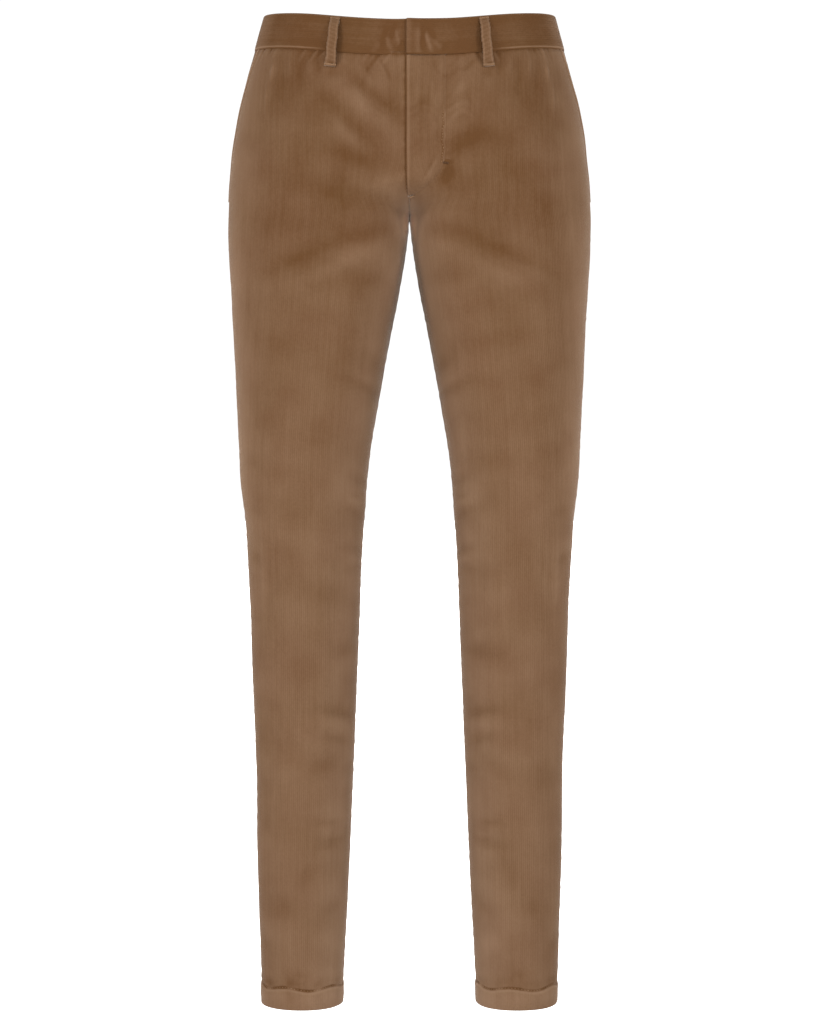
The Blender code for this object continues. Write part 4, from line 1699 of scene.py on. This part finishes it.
@dataclass
class PocketFacing(UprightPiece):
    """The hip piece in the pocket's mouth: flush at the side seam, under the front's edge beyond."""

    front: "LegPanel | None" = None
    rows: int = 44
    tucked: float = 13 * MM
    drop: float = 2.35 * MM
    top_rises: Slope = Slope(0.42, -47, -39)
    seam_from: Slope = Slope(1.0, -190, -185)
    shown_to: Slope = Slope(1.0, 0.5, -1.5)
    least_mouth: float = 1 * MM
    # painted shade on the facing in the pocket's mouth
    darker: float = 0.16
    worn_per: float = 4 * MM
    wall: float = 1.2 * MM
    sinks_at: tuple = (0, 0.35, 0.7, 0.88)
    sinks: tuple = (0, 0.2, 0.7, 1)
    plain_columns: int = 8

    @property
    def node(self) -> str:
        """The CAD node that the piece stands for."""
        return f"pocket_facing_{self.side.word}"

    def levels(self) -> Array:
        """The heights of the rows."""
        top = -self.body.band_height + self.body.tuck
        return np.linspace(top, self.front.pocket_end + 2 * self.body.seam_gap, self.rows)

    def span(self, level: Array) -> tuple:
        """From the side seam to well under the front's edge."""
        return np.zeros_like(level), self.front.mouth(level) + self.tucked

    def _sunk(self, at: Spots) -> Array:
        """How far the facing lies under the front's level, less where the band holds its top."""
        share = at.start / np.maximum(self.front.mouth(at.level), self.least_mouth)
        return self.drop * np.interp(share, self.sinks_at, self.sinks) * (1 - self.top_rises.over(at.level))

    def outer(self, at: Spots) -> Array:
        """The outside, with the side seam's valley."""
        seam = self.front.seam_depth * hump(at.start, 0, self.front.seam_width)
        return -self._sunk(at) - seam * self.seam_from.over(at.level)

    def inner(self, at: Spots) -> Array:
        """The inside."""
        return -self._sunk(at) - self.wall

    def worn(self, at: Spots) -> Array:
        """Painted shade: darker than the panels, and more so towards the pocket's mouth."""
        return self.outer(at) / self.worn_per - self.darker

    def relief(self, at: Spots) -> Array:
        """The wales' height, little where the facing is tucked under."""
        return super().relief(at) * self.shown_to.over(at.start - self.front.mouth(at.level))


@dataclass
class Fly(UprightPiece):
    """The J-shaped placket on the left front; its folded edge laps over the right front."""

    width: float = 37.5 * MM
    lap: float = 3.5 * MM
    straight_to: float = -154 * MM
    end: float = -195 * MM
    tip_width: float = 4 * MM
    wall: float = 1.2 * MM
    shoulder: float = 15 * MM
    thin: float = 0.25 * MM
    foot: Slope = Slope(0.55, -197, -183)
    row_step: float = 2.6 * MM
    plain_columns: int = 10
    soft_edge: float = 3 * MM
    let_in: Slope = Slope(0.9, 4.5, 0)
    under_band: Bump = Bump(1.0, -35.8, 2.2)
    outside_sinks: float = 2.2 * MM
    inside_sinks: float = 1.2 * MM
    off_front: float = 0.12 * MM
    least_thick: float = 0.1 * MM
    fold_crown: Bump = Bump(0.5, 3.2, 2.6)
    fold_radius: float = 1.1 * MM
    # painted highlight along the folded edge and painted shadow at its rim
    fold_pale: Bump = Bump(0.26, 2.4, 1.2)
    fold_dark: Bump = Bump(0.50, 0, 0.8)
    stitch_inset: float = 4.6 * MM
    stitch_wander: tuple = (Ripple(1.1, 310), Ripple(1.0, 127, 0, 1))
    stitch_groove: Bump = Bump(0.40, 0, 0.9)
    # painted highlight beside the stitch line and painted shade in it
    stitch_pale: Bump = Bump(0.30, -2.0, 1.3)
    stitch_dark: Bump = Bump(0.34, 0, 0.9)
    faintest: float = 0.12
    shown_from: Slope = Slope(1.0, -98, -106)
    shown_to: Slope = Slope(1.0, -166, -158)
    shown_evenly: float = 0.62
    shown_waves: tuple = (Ripple(0.38, 640), Ripple(1.0, 173, 0, 1))
    crumples_worn_per: float = 6 * MM

    @property
    def node(self) -> str:
        """The CAD node that the piece stands for."""
        return "fly"

    def curve(self, level: Array) -> Array:
        """The share of its full width that the placket's curved foot has at each level."""
        down = np.clip((level - self.straight_to) / (self.end - self.straight_to), 0, 1)
        return np.sqrt(1 - down**2)

    def reach(self, level: Array) -> Array:
        """Distance from the centre seam to the placket's curved edge."""
        return np.maximum(self.width * self.curve(level), self.tip_width)

    def covers(self, level: Array, from_centre: Array) -> Array:
        """1 where the placket lies on the front, 0 beyond it."""
        inside = eased(from_centre, self.reach(level), self.reach(level) - self.soft_edge)
        return inside * eased(level, self.end, self.end + self.soft_edge)

    def levels(self) -> Array:
        """The heights of the rows."""
        top = -self.body.band_height + self.body.tuck
        return np.linspace(top, self.end, int((top - self.end) / self.row_step))

    def span(self, level: Array) -> tuple:
        """From the curved edge to past the centre seam."""
        row = self.body.row_length(self.face, level)
        return row - self.reach(level), row + self.lap

    def outer(self, at: Spots) -> Array:
        """The outside: thin at the curved edge, a full fold at the centre.

        Args:
            at: Places on the piece.

        Returns:
            The lift off the body's surface, in metres.
        """
        level, start, end = at
        inward = eased(start, 0, self.shoulder)
        rise = self.thin * (1 - inward) + (self.body.seam_gap + self.wall) * inward
        rise = rise * (1 - self.foot.strength + self.foot.over(level))
        groove = self.shown(level) * self.stitch_groove.over(start - self.stitched_at(level))
        lift = rise + (self.fold_crown.over(end) - groove - self.let_in.over(start)) * MM
        lift = lift - rounded(end, self.fold_radius) - self.outside_sinks * self.under_band.over(level)
        lift = lift + self.crumpled(level, end - self.lap)
        return np.maximum(lift, self.inner(at) + self.least_thick)

    def shown(self, level: Array) -> Array:
        """How clearly the line of stitches shows; it sinks into the nap at the top and the foot."""
        between = self.shown_from.over(level) * self.shown_to.over(level) * (1 - self.faintest)
        return self.faintest + between * (self.shown_evenly + crossed(self.shown_waves, level))

    def stitched_at(self, level: Array) -> Array:
        """Distance from the curved edge to the line of stitches, which wanders a little."""
        return self.stitch_inset + crossed(self.stitch_wander, level) * MM

    def inner(self, at: Spots) -> Array:
        """The inside, just off the front, let into its nap and passing under the band."""
        sunk = self.let_in.over(at.start) * MM + self.inside_sinks * self.under_band.over(at.level)
        return self.off_front - sunk

    def worn(self, at: Spots) -> Array:
        """Painted highlight along the folded edge with a painted shadow at its rim, a little painted shade
        in the stitch line, and painted light and shade from the crumples.

        Args:
            at: Places on the piece.

        Returns:
            What to add to the lightness.
        """
        from_line = at.start - self.stitched_at(at.level)
        line = self.stitch_pale.over(from_line) - self.stitch_dark.over(from_line)
        edge = self.fold_pale.over(at.end) - self.fold_dark.over(at.end)
        crumples = self.crumpled(at.level, at.end - self.lap) / self.crumples_worn_per
        return edge + self.shown(at.level) * line + crumples


@dataclass
class Waistband:
    """Half of the waistband, centre front to centre back, with its wales running round."""

    body: Body
    side: Side
    cloth: Cloth
    wales: Wales = Wales()
    wall: float = 2.6 * MM
    proud: float = 0.7 * MM
    lap: float = 3 * MM
    underlap: float = 14 * MM
    lap_lift: float = 1.6 * MM
    lap_sink: float = 1.4 * MM
    lap_ramp: float = 34 * MM
    front_step: float = 1.6 * MM
    step: float = 4.0 * MM
    fine_from: float = 1.8 * MM
    fine_to: float = 46 * MM
    end_steps: tuple = (0, 0.25, 0.6, 1.1)
    end_radius: float = 1.1 * MM
    edge_radius: float = 1.2 * MM
    relief_edge: float = 1.6 * MM
    plain_columns: int = 4
    crown: float = 0.25 * MM
    groove: Bump = Bump(0.3, 1.2, 1.2)
    worn_per: float = 2 * MM
    hips: Slope = Slope(1.0, 70, 100)
    # painted highlights on the band's edges and painted shadow in the lower seam at the front
    seam_pale: Bump = Bump(1.0, 2.0, 0.9)
    pale_in_front: float = 0.15
    paler_at_hips: float = 0.55
    seam_dark: Bump = Bump(0.35, 0, 1.2)
    top_pale: Bump = Bump(0.35, 0.8, 0.9)
    side_pale: Slope = Slope(0.30, 146, 172)
    lap_pale: Bump = Bump(0.20, -1.0, 3.0)
    crease_power: int = 4
    # distance from the centre, level, angle from upright, length, width, depth
    creases: tuple = (
        (8.0, -24, 0, 14, 3.6, 0.55),
        (13.0, -16, -6, 15, 1.8, -0.75),
        (17.5, -24, 16, 10, 2.2, 0.80),
        (21.0, -14, 22, 9, 1.9, -0.55),
        (26.0, -27, 34, 8, 2.6, 0.35),
        (33.0, -30, -38, 7, 2.4, -0.30),
        (-8.0, -30, 16, 7, 1.9, -0.50),
        (-11.5, -19, -14, 9, 2.1, 0.50),
        (-15.5, -13, 12, 8, 2.0, -0.50),
        (-20.0, -25, -22, 9, 2.4, 0.45),
        (-24.0, -19, 10, 10, 2.2, -0.50),
        (-31.0, -30, 30, 7, 2.8, 0.25),
    )

    @property
    def node(self) -> str:
        """The CAD node that the piece stands for."""
        return f"waistband_{self.side.word}"

    def _stations(self) -> tuple:
        """Places along the band: distance past the lap's end, face and share of each.

        Returns:
            Distances from the centre front, shares of the row and whether each is on the front.
        """
        front = float(self.body.row_length(Face.FRONT, np.array(0.0)))
        back = float(self.body.row_length(Face.BACK, np.array(0.0)))
        past = -self.lap if self.side is Side.LEFT else -self.underlap
        ends = past + np.array(self.end_steps) * MM
        fine = np.arange(past + self.fine_from, self.fine_to, self.front_step)
        rest = np.linspace(self.fine_to, front, int((front - self.fine_to) / self.step))
        ahead = np.concatenate([ends, fine, rest])
        behind = np.linspace(0, back - self.body.seam_gap / 2, int(back / self.step))[1:]
        share = np.concatenate([1 - ahead / front, behind / back])
        on_front = np.arange(len(share)) < len(ahead)
        return np.concatenate([ahead, front + behind]), share, on_front

    def _lift(self, distance: Array, past: float) -> Array:
        """How the two halves part where they lap, and the lap's rounded end.

        Args:
            distance: Distances from the centre front.
            past: The distance at which the half ends.

        Returns:
            The lift, in metres.
        """
        flat = self.underlap if self.side is Side.LEFT else self.lap
        most = self.lap_lift if self.side is Side.LEFT else -self.lap_sink
        lapped = most * eased(distance, flat + self.lap_ramp, flat)
        return lapped - rounded(distance - past, self.end_radius)

    def _rubbed_and_painted_light(self, distance: Array, down: Array) -> Array:
        """Painted highlights on the edges, more over the hips, and painted shade at the front where the
        lower seam lies in.

        Args:
            distance: Distances from the centre front.
            down: Distances from the upper edge.

        Returns:
            What to add to the lightness.
        """
        hips, up = self.hips.over(distance), self.body.band_height - down
        seam = (self.pale_in_front + self.paler_at_hips * hips) * self.seam_pale.over(up)
        seam = seam - (1 - hips) * self.seam_dark.over(up)
        lap = self.lap_pale.over(distance) if self.side is Side.LEFT else 0
        return seam + self.top_pale.over(down) + self.side_pale.over(distance) + lap

    def _creased(self, distance: Array, level: Array) -> Array:
        """The short creases where the closure pulls.

        Args:
            distance: Distances from the centre front.
            level: Heights of the places.

        Returns:
            The lift, in metres.
        """
        lift = np.zeros(np.broadcast_shapes(distance.shape, level.shape))
        for at, middle, angle, length, width, depth in self.creases:
            if (at > 0) != (self.side is Side.LEFT):
                continue
            u, w = turned(distance - abs(at) * MM, level - middle * MM, angle)
            u, w = u / (width * MM), w / (length * MM)
            lift += depth * MM * np.exp(-(u**2) - w**self.crease_power)
        return lift

    def built(self) -> bpy.types.Object:
        """Builds the band, raises its wales and dresses it.

        Returns:
            The piece.
        """
        distance, share, on_front = self._stations()
        rows, height = len(distance), self.body.band_height
        down, fresh = self.wales.columns(np.zeros(rows), np.full(rows, height), np.zeros(rows))
        plain_down = np.tile(np.linspace(0, height, self.plain_columns + 1), (rows, 1))
        along = distance[:, None]
        lift = self.proud + self._lift(along, float(distance[0]))
        grids = []
        for below in (down, plain_down):
            points, normals = np.empty(below.shape + (3,)), np.empty(below.shape + (3,))
            for face, chosen in ((Face.FRONT, on_front), (Face.BACK, ~on_front)):
                at = np.broadcast_to(share[chosen, None], below[chosen].shape)
                found = self.body.on(self.side, face, -below[chosen], at)
                points[chosen], normals[chosen] = found[0], found[1]
            grids.append((points, normals, lift + self._creased(along, -below)))
        (points, normals, outer), (back, back_normals, inner) = grids
        edge = np.minimum(down, height - down)
        crown = self.crown * (1 - (2 * down / height - 1) ** 2)
        groove = self.groove.over(height - down) * MM
        outer = outer + crown - rounded(edge, self.edge_radius) - groove
        relief = self.wales.relief * eased(edge, 0, self.relief_edge) * np.ones_like(outer)
        shell = Shell(
            name=f"{self.node}_cloth",
            outside=points + normals * outer[..., None],
            fresh=fresh,
            inside=back + back_normals * (inner - self.wall)[..., None],
            outside_at=down,
            inside_at=plain_down,
            rise=normals * relief[..., None],
            wale=down / self.wales.pitch,
            run=np.broadcast_to(along, down.shape) * self.side.value,
            # painted light and shade from the band's relief and creases, and its edges' painted highlights
            wear=(outer - lift) / self.worn_per + self._rubbed_and_painted_light(along, down),
            inside_run=np.broadcast_to(along, plain_down.shape),
        )
        return shell.ribbed(self.cloth)


@dataclass
class BeltLoop:
    """A strap bowed off the waistband, tacked at the band's top and below its seam."""

    body: Body
    place: str
    side: Side
    face: Face
    share: float
    cloth: Cloth
    wales: Wales = Wales()
    width: float = 10 * MM
    wall: float = 1.8 * MM
    drop: float = 15.5 * MM
    flare: Slope = Slope(0.14, 10, 2)
    lean: float = 0.016
    bow: float = 5.5 * MM
    squareness: float = 3.4
    sideways: float = 0.05
    tack: float = 2.5 * MM
    top_inset: float = 1 * MM
    rows: int = 46
    band_proud: float = 0.7 * MM
    crinkle: float = 0.13 * MM
    crinkles: tuple = (Ripple(1.0, 1390, 520, 0, 1), Ripple(0.8, 2210, -900, 0, 2))
    turn_by_share: float = 7
    wavers: tuple = (Ripple(0.25, 330, 0, 0, 5), Ripple(0.16, 1270, 0, 0, 9))
    plain_columns: int = 4
    stitch_groove: Bump = Bump(0.3, 3, 1.6)
    edge_radius: float = 1.1 * MM
    relief_edge: float = 1.6 * MM
    worn_per: float = 2 * MM
    # painted highlight on the strap's rounded edges
    edge_pale: Bump = Bump(0.26, 1.3, 0.8)
    darker: float = 0.10

    @property
    def node(self) -> str:
        """The CAD node that the piece stands for."""
        return f"belt_loop_{self.place}"

    @property
    def bottom(self) -> float:
        """The level of the strap's lower end."""
        return -self.body.band_height - self.drop

    def line(self, level: Array) -> Array:
        """The strap's share of the row at each level: it leans a little to the centre."""
        sideways = self.lean * (self.share < 1)
        return self.share + sideways * level / self.bottom

    def centre(self, level: Array) -> tuple:
        """The strap's middle line.

        Args:
            level: Heights of the places.

        Returns:
            Points on the body, their normals and the lift of the strap's underside.
        """
        over, length = level - self.bottom, -self.top_inset - self.bottom
        free = np.clip((over - self.tack) / (length - 2 * self.tack), 0, 1)
        bow = self.bow * (1 - np.abs(2 * free - 1) ** self.squareness)
        points, normals, _ = self.body.on(self.side, self.face, level, self.line(level))
        normals = normals * np.array([self.sideways, 1, 1])
        normals = normals / np.linalg.norm(normals, axis=-1, keepdims=True)
        seat = self.body.seam_gap + self.band_proud * np.clip(over / self.drop, 0, 1)
        return points, normals, seat + bow

    def widening(self, level: Array) -> Array:
        """How much wider than its usual width the strap is: it spreads at its lower end."""
        return 1 + self.flare.over(level - self.bottom)

    def crinkled(self, level: Array, across: Array) -> Array:
        """Small uneven bumps, as on a narrow strap that is folded and stitched."""
        seed = self.turn_by_share * self.share + self.side.value
        return self.crinkle * rippled(self.crinkles, level, across, seed)

    def built(self) -> bpy.types.Object:
        """Builds the strap, raises its wales and dresses it.

        Returns:
            The piece.
        """
        level = np.linspace(-self.top_inset, self.bottom, self.rows)
        _, normals, base = self.centre(level)
        length = float(self.body.row_length(self.face, np.array(0.0)))
        half = np.full_like(level, self.width / 2)
        across, fresh = self.wales.columns(-half, half, np.zeros_like(level))
        plain = np.linspace(-1, 1, self.plain_columns + 1) * self.width / 2
        plain = np.tile(plain, (len(level), 1))
        grids = []
        for places in (across, plain):
            high = np.broadcast_to(level[:, None], places.shape)
            waver = rippled(self.wavers, high, seed=self.share) * MM
            places = places * self.widening(high)
            share = self.line(high) + (places + waver) / length
            points, _, _ = self.body.on(self.side, self.face, high, share)
            grids.append(points + normals[:, None] * base[:, None, None])
        from_edge = self.width / 2 - np.abs(across)
        grooves = self.stitch_groove.over(level - self.bottom) + self.stitch_groove.over(-level)
        bumps = self.crinkled(level[:, None], across) - grooves[:, None] * MM
        outer = self.wall - rounded(from_edge, self.edge_radius) + bumps
        relief = self.wales.relief * eased(from_edge, 0, self.relief_edge) * np.ones_like(outer)
        shell = Shell(
            name=f"{self.node}_cloth",
            outside=grids[0] + normals[:, None] * outer[..., None],
            fresh=fresh,
            inside=grids[1],
            outside_at=across,
            inside_at=plain,
            rise=normals[:, None] * relief[..., None],
            wale=across / self.wales.pitch,
            run=np.broadcast_to(-level[:, None], across.shape),
            # painted highlights on the rounded edges and painted light and shade from the crinkles, with
            # the strap's own darker tone
            wear=self.edge_pale.over(from_edge) + bumps / self.worn_per - self.darker,
            inside_run=np.broadcast_to(-level[:, None], plain.shape),
        )
        return shell.ribbed(self.cloth)


# ---- Stitching ----
@dataclass
class Stitching:
    """Lines of stitches laid on the cloth."""

    body: Body
    finish: bpy.types.Material
    tree: StitchTree
    line_points: int = 90
    fly_from: float = -41 * MM
    fly_to: float = 6 * MM
    sunk: float = 0.5 * MM
    shown_rises: float = 0.95 * MM
    pocket_points: int = 60
    pocket_from: float = -42 * MM
    pocket_to: float = 14 * MM
    pocket_inset: float = 6 * MM
    pocket_rises: float = 0.4 * MM
    hem_inset: float = 1.5 * MM
    hem_rises: float = 0.35 * MM
    bar_points: int = 12
    loop_points: int = 14
    loop_share: float = 0.48
    loop_insets: tuple = (2.6 * MM, 1.6 * MM)
    loop_rises: float = 0.1 * MM

    def laid(self, name: str, lines: list, **sizes: float) -> bpy.types.Object:
        """Lays stitches along lines.

        Args:
            name: The piece's name.
            lines: Pairs of points and directions out of the cloth.
            **sizes: Values for the stitch tree's inputs.

        Returns:
            The piece.
        """
        points = np.concatenate([line for line, _ in lines])
        outs = np.concatenate([out for _, out in lines])
        edges, first = [], 0
        for line, _ in lines:
            edges += [(i, i + 1) for i in range(first, first + len(line) - 1)]
            first += len(line)
        data = bpy.data.meshes.new(name)
        data.from_pydata(points.tolist(), edges, [])
        data.attributes.new("out", "FLOAT_VECTOR", "POINT").data.foreach_set("vector", outs.ravel())
        piece = linked(name, data)
        self.tree.applied(piece, self.finish, **sizes)
        return piece

    def _line(self, side: Side, face: Face, level: Array, share: Array, lift: Array) -> list:
        """One line of places and directions out of the cloth, lifted off the body's surface."""
        points, normals, _ = self.body.on(side, face, level, share)
        return [(points + normals * np.asarray(lift)[..., None], normals)]

    def on_fly(self, fly: Fly) -> list:
        """The J-shaped line that sews the placket down.

        Args:
            fly: The placket.

        Returns:
            One line.
        """
        down = np.linspace(self.fly_from, fly.end + self.fly_to, self.line_points)
        reach = (fly.width - fly.stitched_at(down)) * fly.curve(down)
        row = self.body.row_length(Face.FRONT, down)
        lift = fly.outer(Spots(down, fly.reach(down) - reach, reach + fly.lap))
        lift = lift - self.sunk + self.shown_rises * fly.shown(down)
        return self._line(fly.side, Face.FRONT, down, 1 - reach / row, lift)

    def on_pocket(self, front: LegPanel) -> list:
        """The line along the pocket's edge.

        Args:
            front: The front whose pocket it is.

        Returns:
            One line.
        """
        down = np.linspace(self.pocket_from, front.pocket_end + self.pocket_to, self.pocket_points)
        row = self.body.row_length(Face.FRONT, down)
        inset = np.full_like(down, self.pocket_inset)
        at = front.mouth(down) + inset
        lift = front.outer(Spots(down, inset, row - at)) + self.pocket_rises
        return self._line(front.side, Face.FRONT, down, at / row, lift)

    def on_hem(self, panel: LegPanel) -> list:
        """The line that holds the hem up, sunk in its groove.

        Args:
            panel: The leg panel.

        Returns:
            One line.
        """
        level = np.array(self.body.hem + panel.hem_height)
        row = float(self.body.row_length(panel.face, level))
        start = np.linspace(self.hem_inset, row - self.hem_inset, self.line_points)
        level = level + panel.drift(start)
        lift = panel.outer(Spots(level, start, row - start)) + self.hem_rises
        return self._line(panel.side, panel.face, level, start / row, lift)

    def bar(self, side: Side, face: Face, ends: tuple, lift: float) -> list:
        """A bartack between two places.

        Args:
            side: The side it lies on.
            face: The face it lies on.
            ends: Level and distance from the centre seam of both ends, in millimetres.
            lift: How far it stands out of the body's surface.

        Returns:
            One line.
        """
        level, from_centre = np.linspace(*ends, self.bar_points).T * MM
        share = 1 - from_centre / self.body.row_length(face, level)
        return self._line(side, face, level, share, lift)

    def on_loop(self, loop: BeltLoop) -> list:
        """The bartacks at both ends of a belt loop.

        Args:
            loop: The loop.

        Returns:
            Two lines.
        """
        lines = []
        length = float(self.body.row_length(loop.face, np.array(0.0)))
        top, foot = self.loop_insets
        for level in (-loop.top_inset - top, loop.bottom + foot):
            steps = np.linspace(-self.loop_share, self.loop_share, self.loop_points)
            steps = steps * loop.width * loop.widening(level)
            high = np.full_like(steps, level)
            _, normals, base = loop.centre(high)
            points, _, _ = self.body.on(loop.side, loop.face, high, loop.line(high) + steps / length)
            lift = base + loop.wall + self.loop_rises
            lines.append((points + normals * lift[:, None], normals))
        return lines


# ---- Studio ----
@dataclass
class Studio:
    """A plain pale floor, soft lights and the camera."""

    floor_level: float = -1.42
    floor_radius: float = 30.0
    floor_corners: int = 64
    floor_roughness: float = 0.9
    floor_colour: tuple = (0.93, 0.93, 0.93, 1)
    floor_glow: float = 1.0
    glow_from: float = 1.1
    glow_to: float = 1.9
    backdrop_strength: float = 1.05
    fill_strength: float = 0.30
    lens: float = 110.65
    sensor_width: float = 36
    camera_at: tuple = (0, -3.3, -0.43)
    aim: tuple = (0, 0, -0.5189)
    # azimuth from the front and height above the floor, softness, strength; degrees
    suns: tuple = (
        (-50, 36, 16, 1.75),
        (48, 34, 16, 1.35),
        (3, 8, 20, 0.52),
        (172, 40, 25, 1.9),
    )

    def floor(self) -> bpy.types.Object:
        """Makes the floor.

        Returns:
            The floor's object.
        """
        data = bpy.data.meshes.new("floor")
        turns = np.linspace(0, 2 * math.pi, self.floor_corners + 1)[:-1]
        ring = [(math.cos(t) * self.floor_radius, math.sin(t) * self.floor_radius) for t in turns]
        data.from_pydata([(x, y, self.floor_level) for x, y in ring], [], [list(range(len(ring)))])
        sheet = MaterialSheet("pale_floor")
        middle = (0, 0, self.floor_level)
        away = sheet.add("ShaderNodeVectorMath", sheet.place, middle, operation="DISTANCE")
        sheet.look(
            Base_Color=self.floor_colour,
            Roughness=self.floor_roughness,
            Emission_Color=(1, 1, 1, 1),
            Emission_Strength=sheet.spread(
                away.outputs["Value"], self.glow_from, self.glow_to, 0.0, self.floor_glow
            ),
        )
        data.materials.append(sheet.material)
        return linked("floor", data)

    def light(self) -> None:
        """Hangs the soft lights and sets the pale surroundings."""
        for number, (azimuth, height, softness, strength) in enumerate(self.suns):
            lamp = bpy.data.lights.new(f"far_light_{number}", "SUN")
            lamp.energy, lamp.angle = strength, math.radians(softness)
            thing = linked(lamp.name, lamp)
            thing.rotation_euler = (math.radians(90 - height), 0, math.radians(azimuth))
        world = bpy.data.worlds.new("studio")
        world.use_nodes = True
        sheet = NodeSheet(world.node_tree)
        seen = sheet.add("ShaderNodeBackground", (1, 1, 1, 1), self.backdrop_strength).outputs[0]
        fill = sheet.add("ShaderNodeBackground", (1, 1, 1, 1), self.fill_strength).outputs[0]
        ray = sheet.add("ShaderNodeLightPath").outputs["Is Camera Ray"]
        both = sheet.add("ShaderNodeMixShader", ray, fill, seen).outputs[0]
        sheet.feed(world.node_tree.nodes["World Output"].inputs["Surface"], both)
        bpy.context.scene.world = world
        bpy.context.scene.view_settings.view_transform = "Standard"

    def camera(self) -> None:
        """Places the camera."""
        data = bpy.data.cameras.new("camera")
        data.lens, data.sensor_width, data.sensor_fit = self.lens, self.sensor_width, "AUTO"
        thing = linked("camera", data)
        thing.location = self.camera_at
        look = Vector(self.aim) - Vector(self.camera_at)
        thing.rotation_euler = look.to_track_quat("-Z", "Y").to_euler()
        bpy.context.scene.camera = thing


@dataclass
class Trousers:
    """The whole garment: builds every piece and puts it on the frame."""

    body: Body = field(default_factory=Body)
    # name, side, face, share of the way from the side seam to the centre seam
    loops: tuple = (
        ("front_left", Side.LEFT, Face.FRONT, 0.634),
        ("front_right", Side.RIGHT, Face.FRONT, 0.634),
        ("back_left", Side.LEFT, Face.BACK, 0.660),
        ("back_right", Side.RIGHT, Face.BACK, 0.660),
        ("centre_back", Side.LEFT, Face.BACK, 1.0),
    )
    panel_flat: tuple = (0.27, 1.05)
    panel_area: float = 0.205
    band_flat: tuple = (0.43, 0.04)
    fly_flat: tuple = (0.042, 0.15)
    facing_flat: tuple = (0.045, 0.16)
    facing_area: float = 0.0052
    loop_flat: tuple = (0.012, 0.062)
    # the band's copy of the corduroy is darker, partly painted shade for wales that run round the waist,
    # and has less sheen
    band_finish: dict = field(default_factory=lambda: {"lightness": -0.06, "sheen": 0.15})
    hem_stitch: dict = field(default_factory=lambda: {"Pitch": 3.4 * MM, "Width": 0.4 * MM})
    bar_stitch: dict = field(
        default_factory=lambda: {
            "Pitch": 0.55 * MM,
            "Length": 0.5 * MM,
            "Width": 2.4 * MM,
            "Height": 0.7 * MM,
        }
    )
    # level and distance from the centre seam of both ends, in millimetres
    foot_bar: tuple = ((-195, -1), (-194, 8))
    foot_bar_lift: float = 1.3 * MM
    turn_bar: tuple = ((-162, 34.5), (-162.6, 40))
    turn_bar_lift: float = 0.3 * MM
    # a darker copy of the sewing thread, painted shade, for the fly's turn bartack
    dim_thread: Thread = Thread(
        "sewing_thread_dark", dark=(0.060, 0.027, 0.012, 1), light=(0.110, 0.055, 0.027, 1)
    )

    def dress(self) -> None:
        """Builds and places every piece."""
        band_finish = Corduroy("corduroy_round", **self.band_finish)
        finishes = (Corduroy("corduroy_upright"), band_finish, Thread())
        leg, band, thread = (finish.material() for finish in finishes)
        tree = WaleTree()
        leg, band = Cloth(leg, tree), Cloth(band, tree)
        stitching = Stitching(self.body, thread, StitchTree())
        fly = Fly(self.body, Side.LEFT, Face.FRONT, leg)
        fronts = {}
        for side in Side:
            band_half = Waistband(self.body, side, band)
            self.put(band_half.built(), band_half.node)
            for face in Face:
                covered = fly if (side, face) == (Side.LEFT, Face.FRONT) else None
                panel = LegPanel(self.body, side, face, leg, fly=covered)
                piece = panel.built()
                self.put(piece, panel.node)
                self.sew(stitching, f"{panel.node}_hem_stitches", stitching.on_hem(panel), self.hem_stitch)
                if face is Face.FRONT:
                    fronts[side] = panel
            facing = PocketFacing(self.body, side, Face.FRONT, leg, front=fronts[side])
            cloth = facing.built()
            self.put(cloth, facing.node)
            self.sew(stitching, f"pocket_{side.word}_stitches", stitching.on_pocket(fronts[side]))
        self.put(fly.built(), fly.node)
        self.sew(stitching, "fly_stitches", stitching.on_fly(fly))
        self.tack(stitching, [self.loop(leg, *row) for row in self.loops])

    def loop(self, cloth: Cloth, *row: object) -> BeltLoop:
        """Builds one belt loop.

        Args:
            cloth: What it is made of.
            *row: Its name, side, face and share.

        Returns:
            The loop.
        """
        loop = BeltLoop(self.body, *row, cloth)
        self.put(loop.built(), loop.node)
        return loop

    def tack(self, stitching: Stitching, loops: list) -> None:
        """Sews the bartacks of the belt loops and the fly.

        Args:
            stitching: What lays stitches.
            loops: The belt loops.
        """
        across = [line for loop in loops for line in stitching.on_loop(loop)]
        self.sew(stitching, "loop_bartacks", across, self.bar_stitch)
        foot = stitching.bar(Side.LEFT, Face.FRONT, self.foot_bar, self.foot_bar_lift)
        self.sew(stitching, "fly_foot_bartack", foot, self.bar_stitch)
        # the turn bartack takes the painted-shade copy of the thread
        shaded = Stitching(self.body, self.dim_thread.material(), stitching.tree)
        turn = shaded.bar(Side.LEFT, Face.FRONT, self.turn_bar, self.turn_bar_lift)
        self.sew(shaded, "fly_turn_bartack", turn, self.bar_stitch)

    def sew(self, stitching: Stitching, name: str, lines: list, sizes: dict | None = None) -> None:
        """Lays stitches along lines and puts them on the frame."""
        self.put(stitching.laid(name, lines, **(sizes or {})), "")

    def put(
        self,
        piece: bpy.types.Object,
        node: str,
    ) -> None:
        """Puts a finished piece on the frame, hides the CAD part it stands for and logs its triangles.

        Args:
            piece: The piece.
            node: The CAD node it stands for, or nothing.
        """
        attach(piece, "root")
        if node:
            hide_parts(node)
        triangles = sum(len(face.vertices) - 2 for face in piece.data.polygons)
        LOG.info("%s: %d triangles", piece.name, triangles)


def main() -> None:
    """Builds the studio and the trousers."""
    logging.basicConfig(level=logging.INFO, format="%(name)s: %(message)s")
    studio = Studio()
    studio.camera()
    studio.light()
    studio.floor()
    Trousers().dress()


if __name__ == "__main__":
    main()
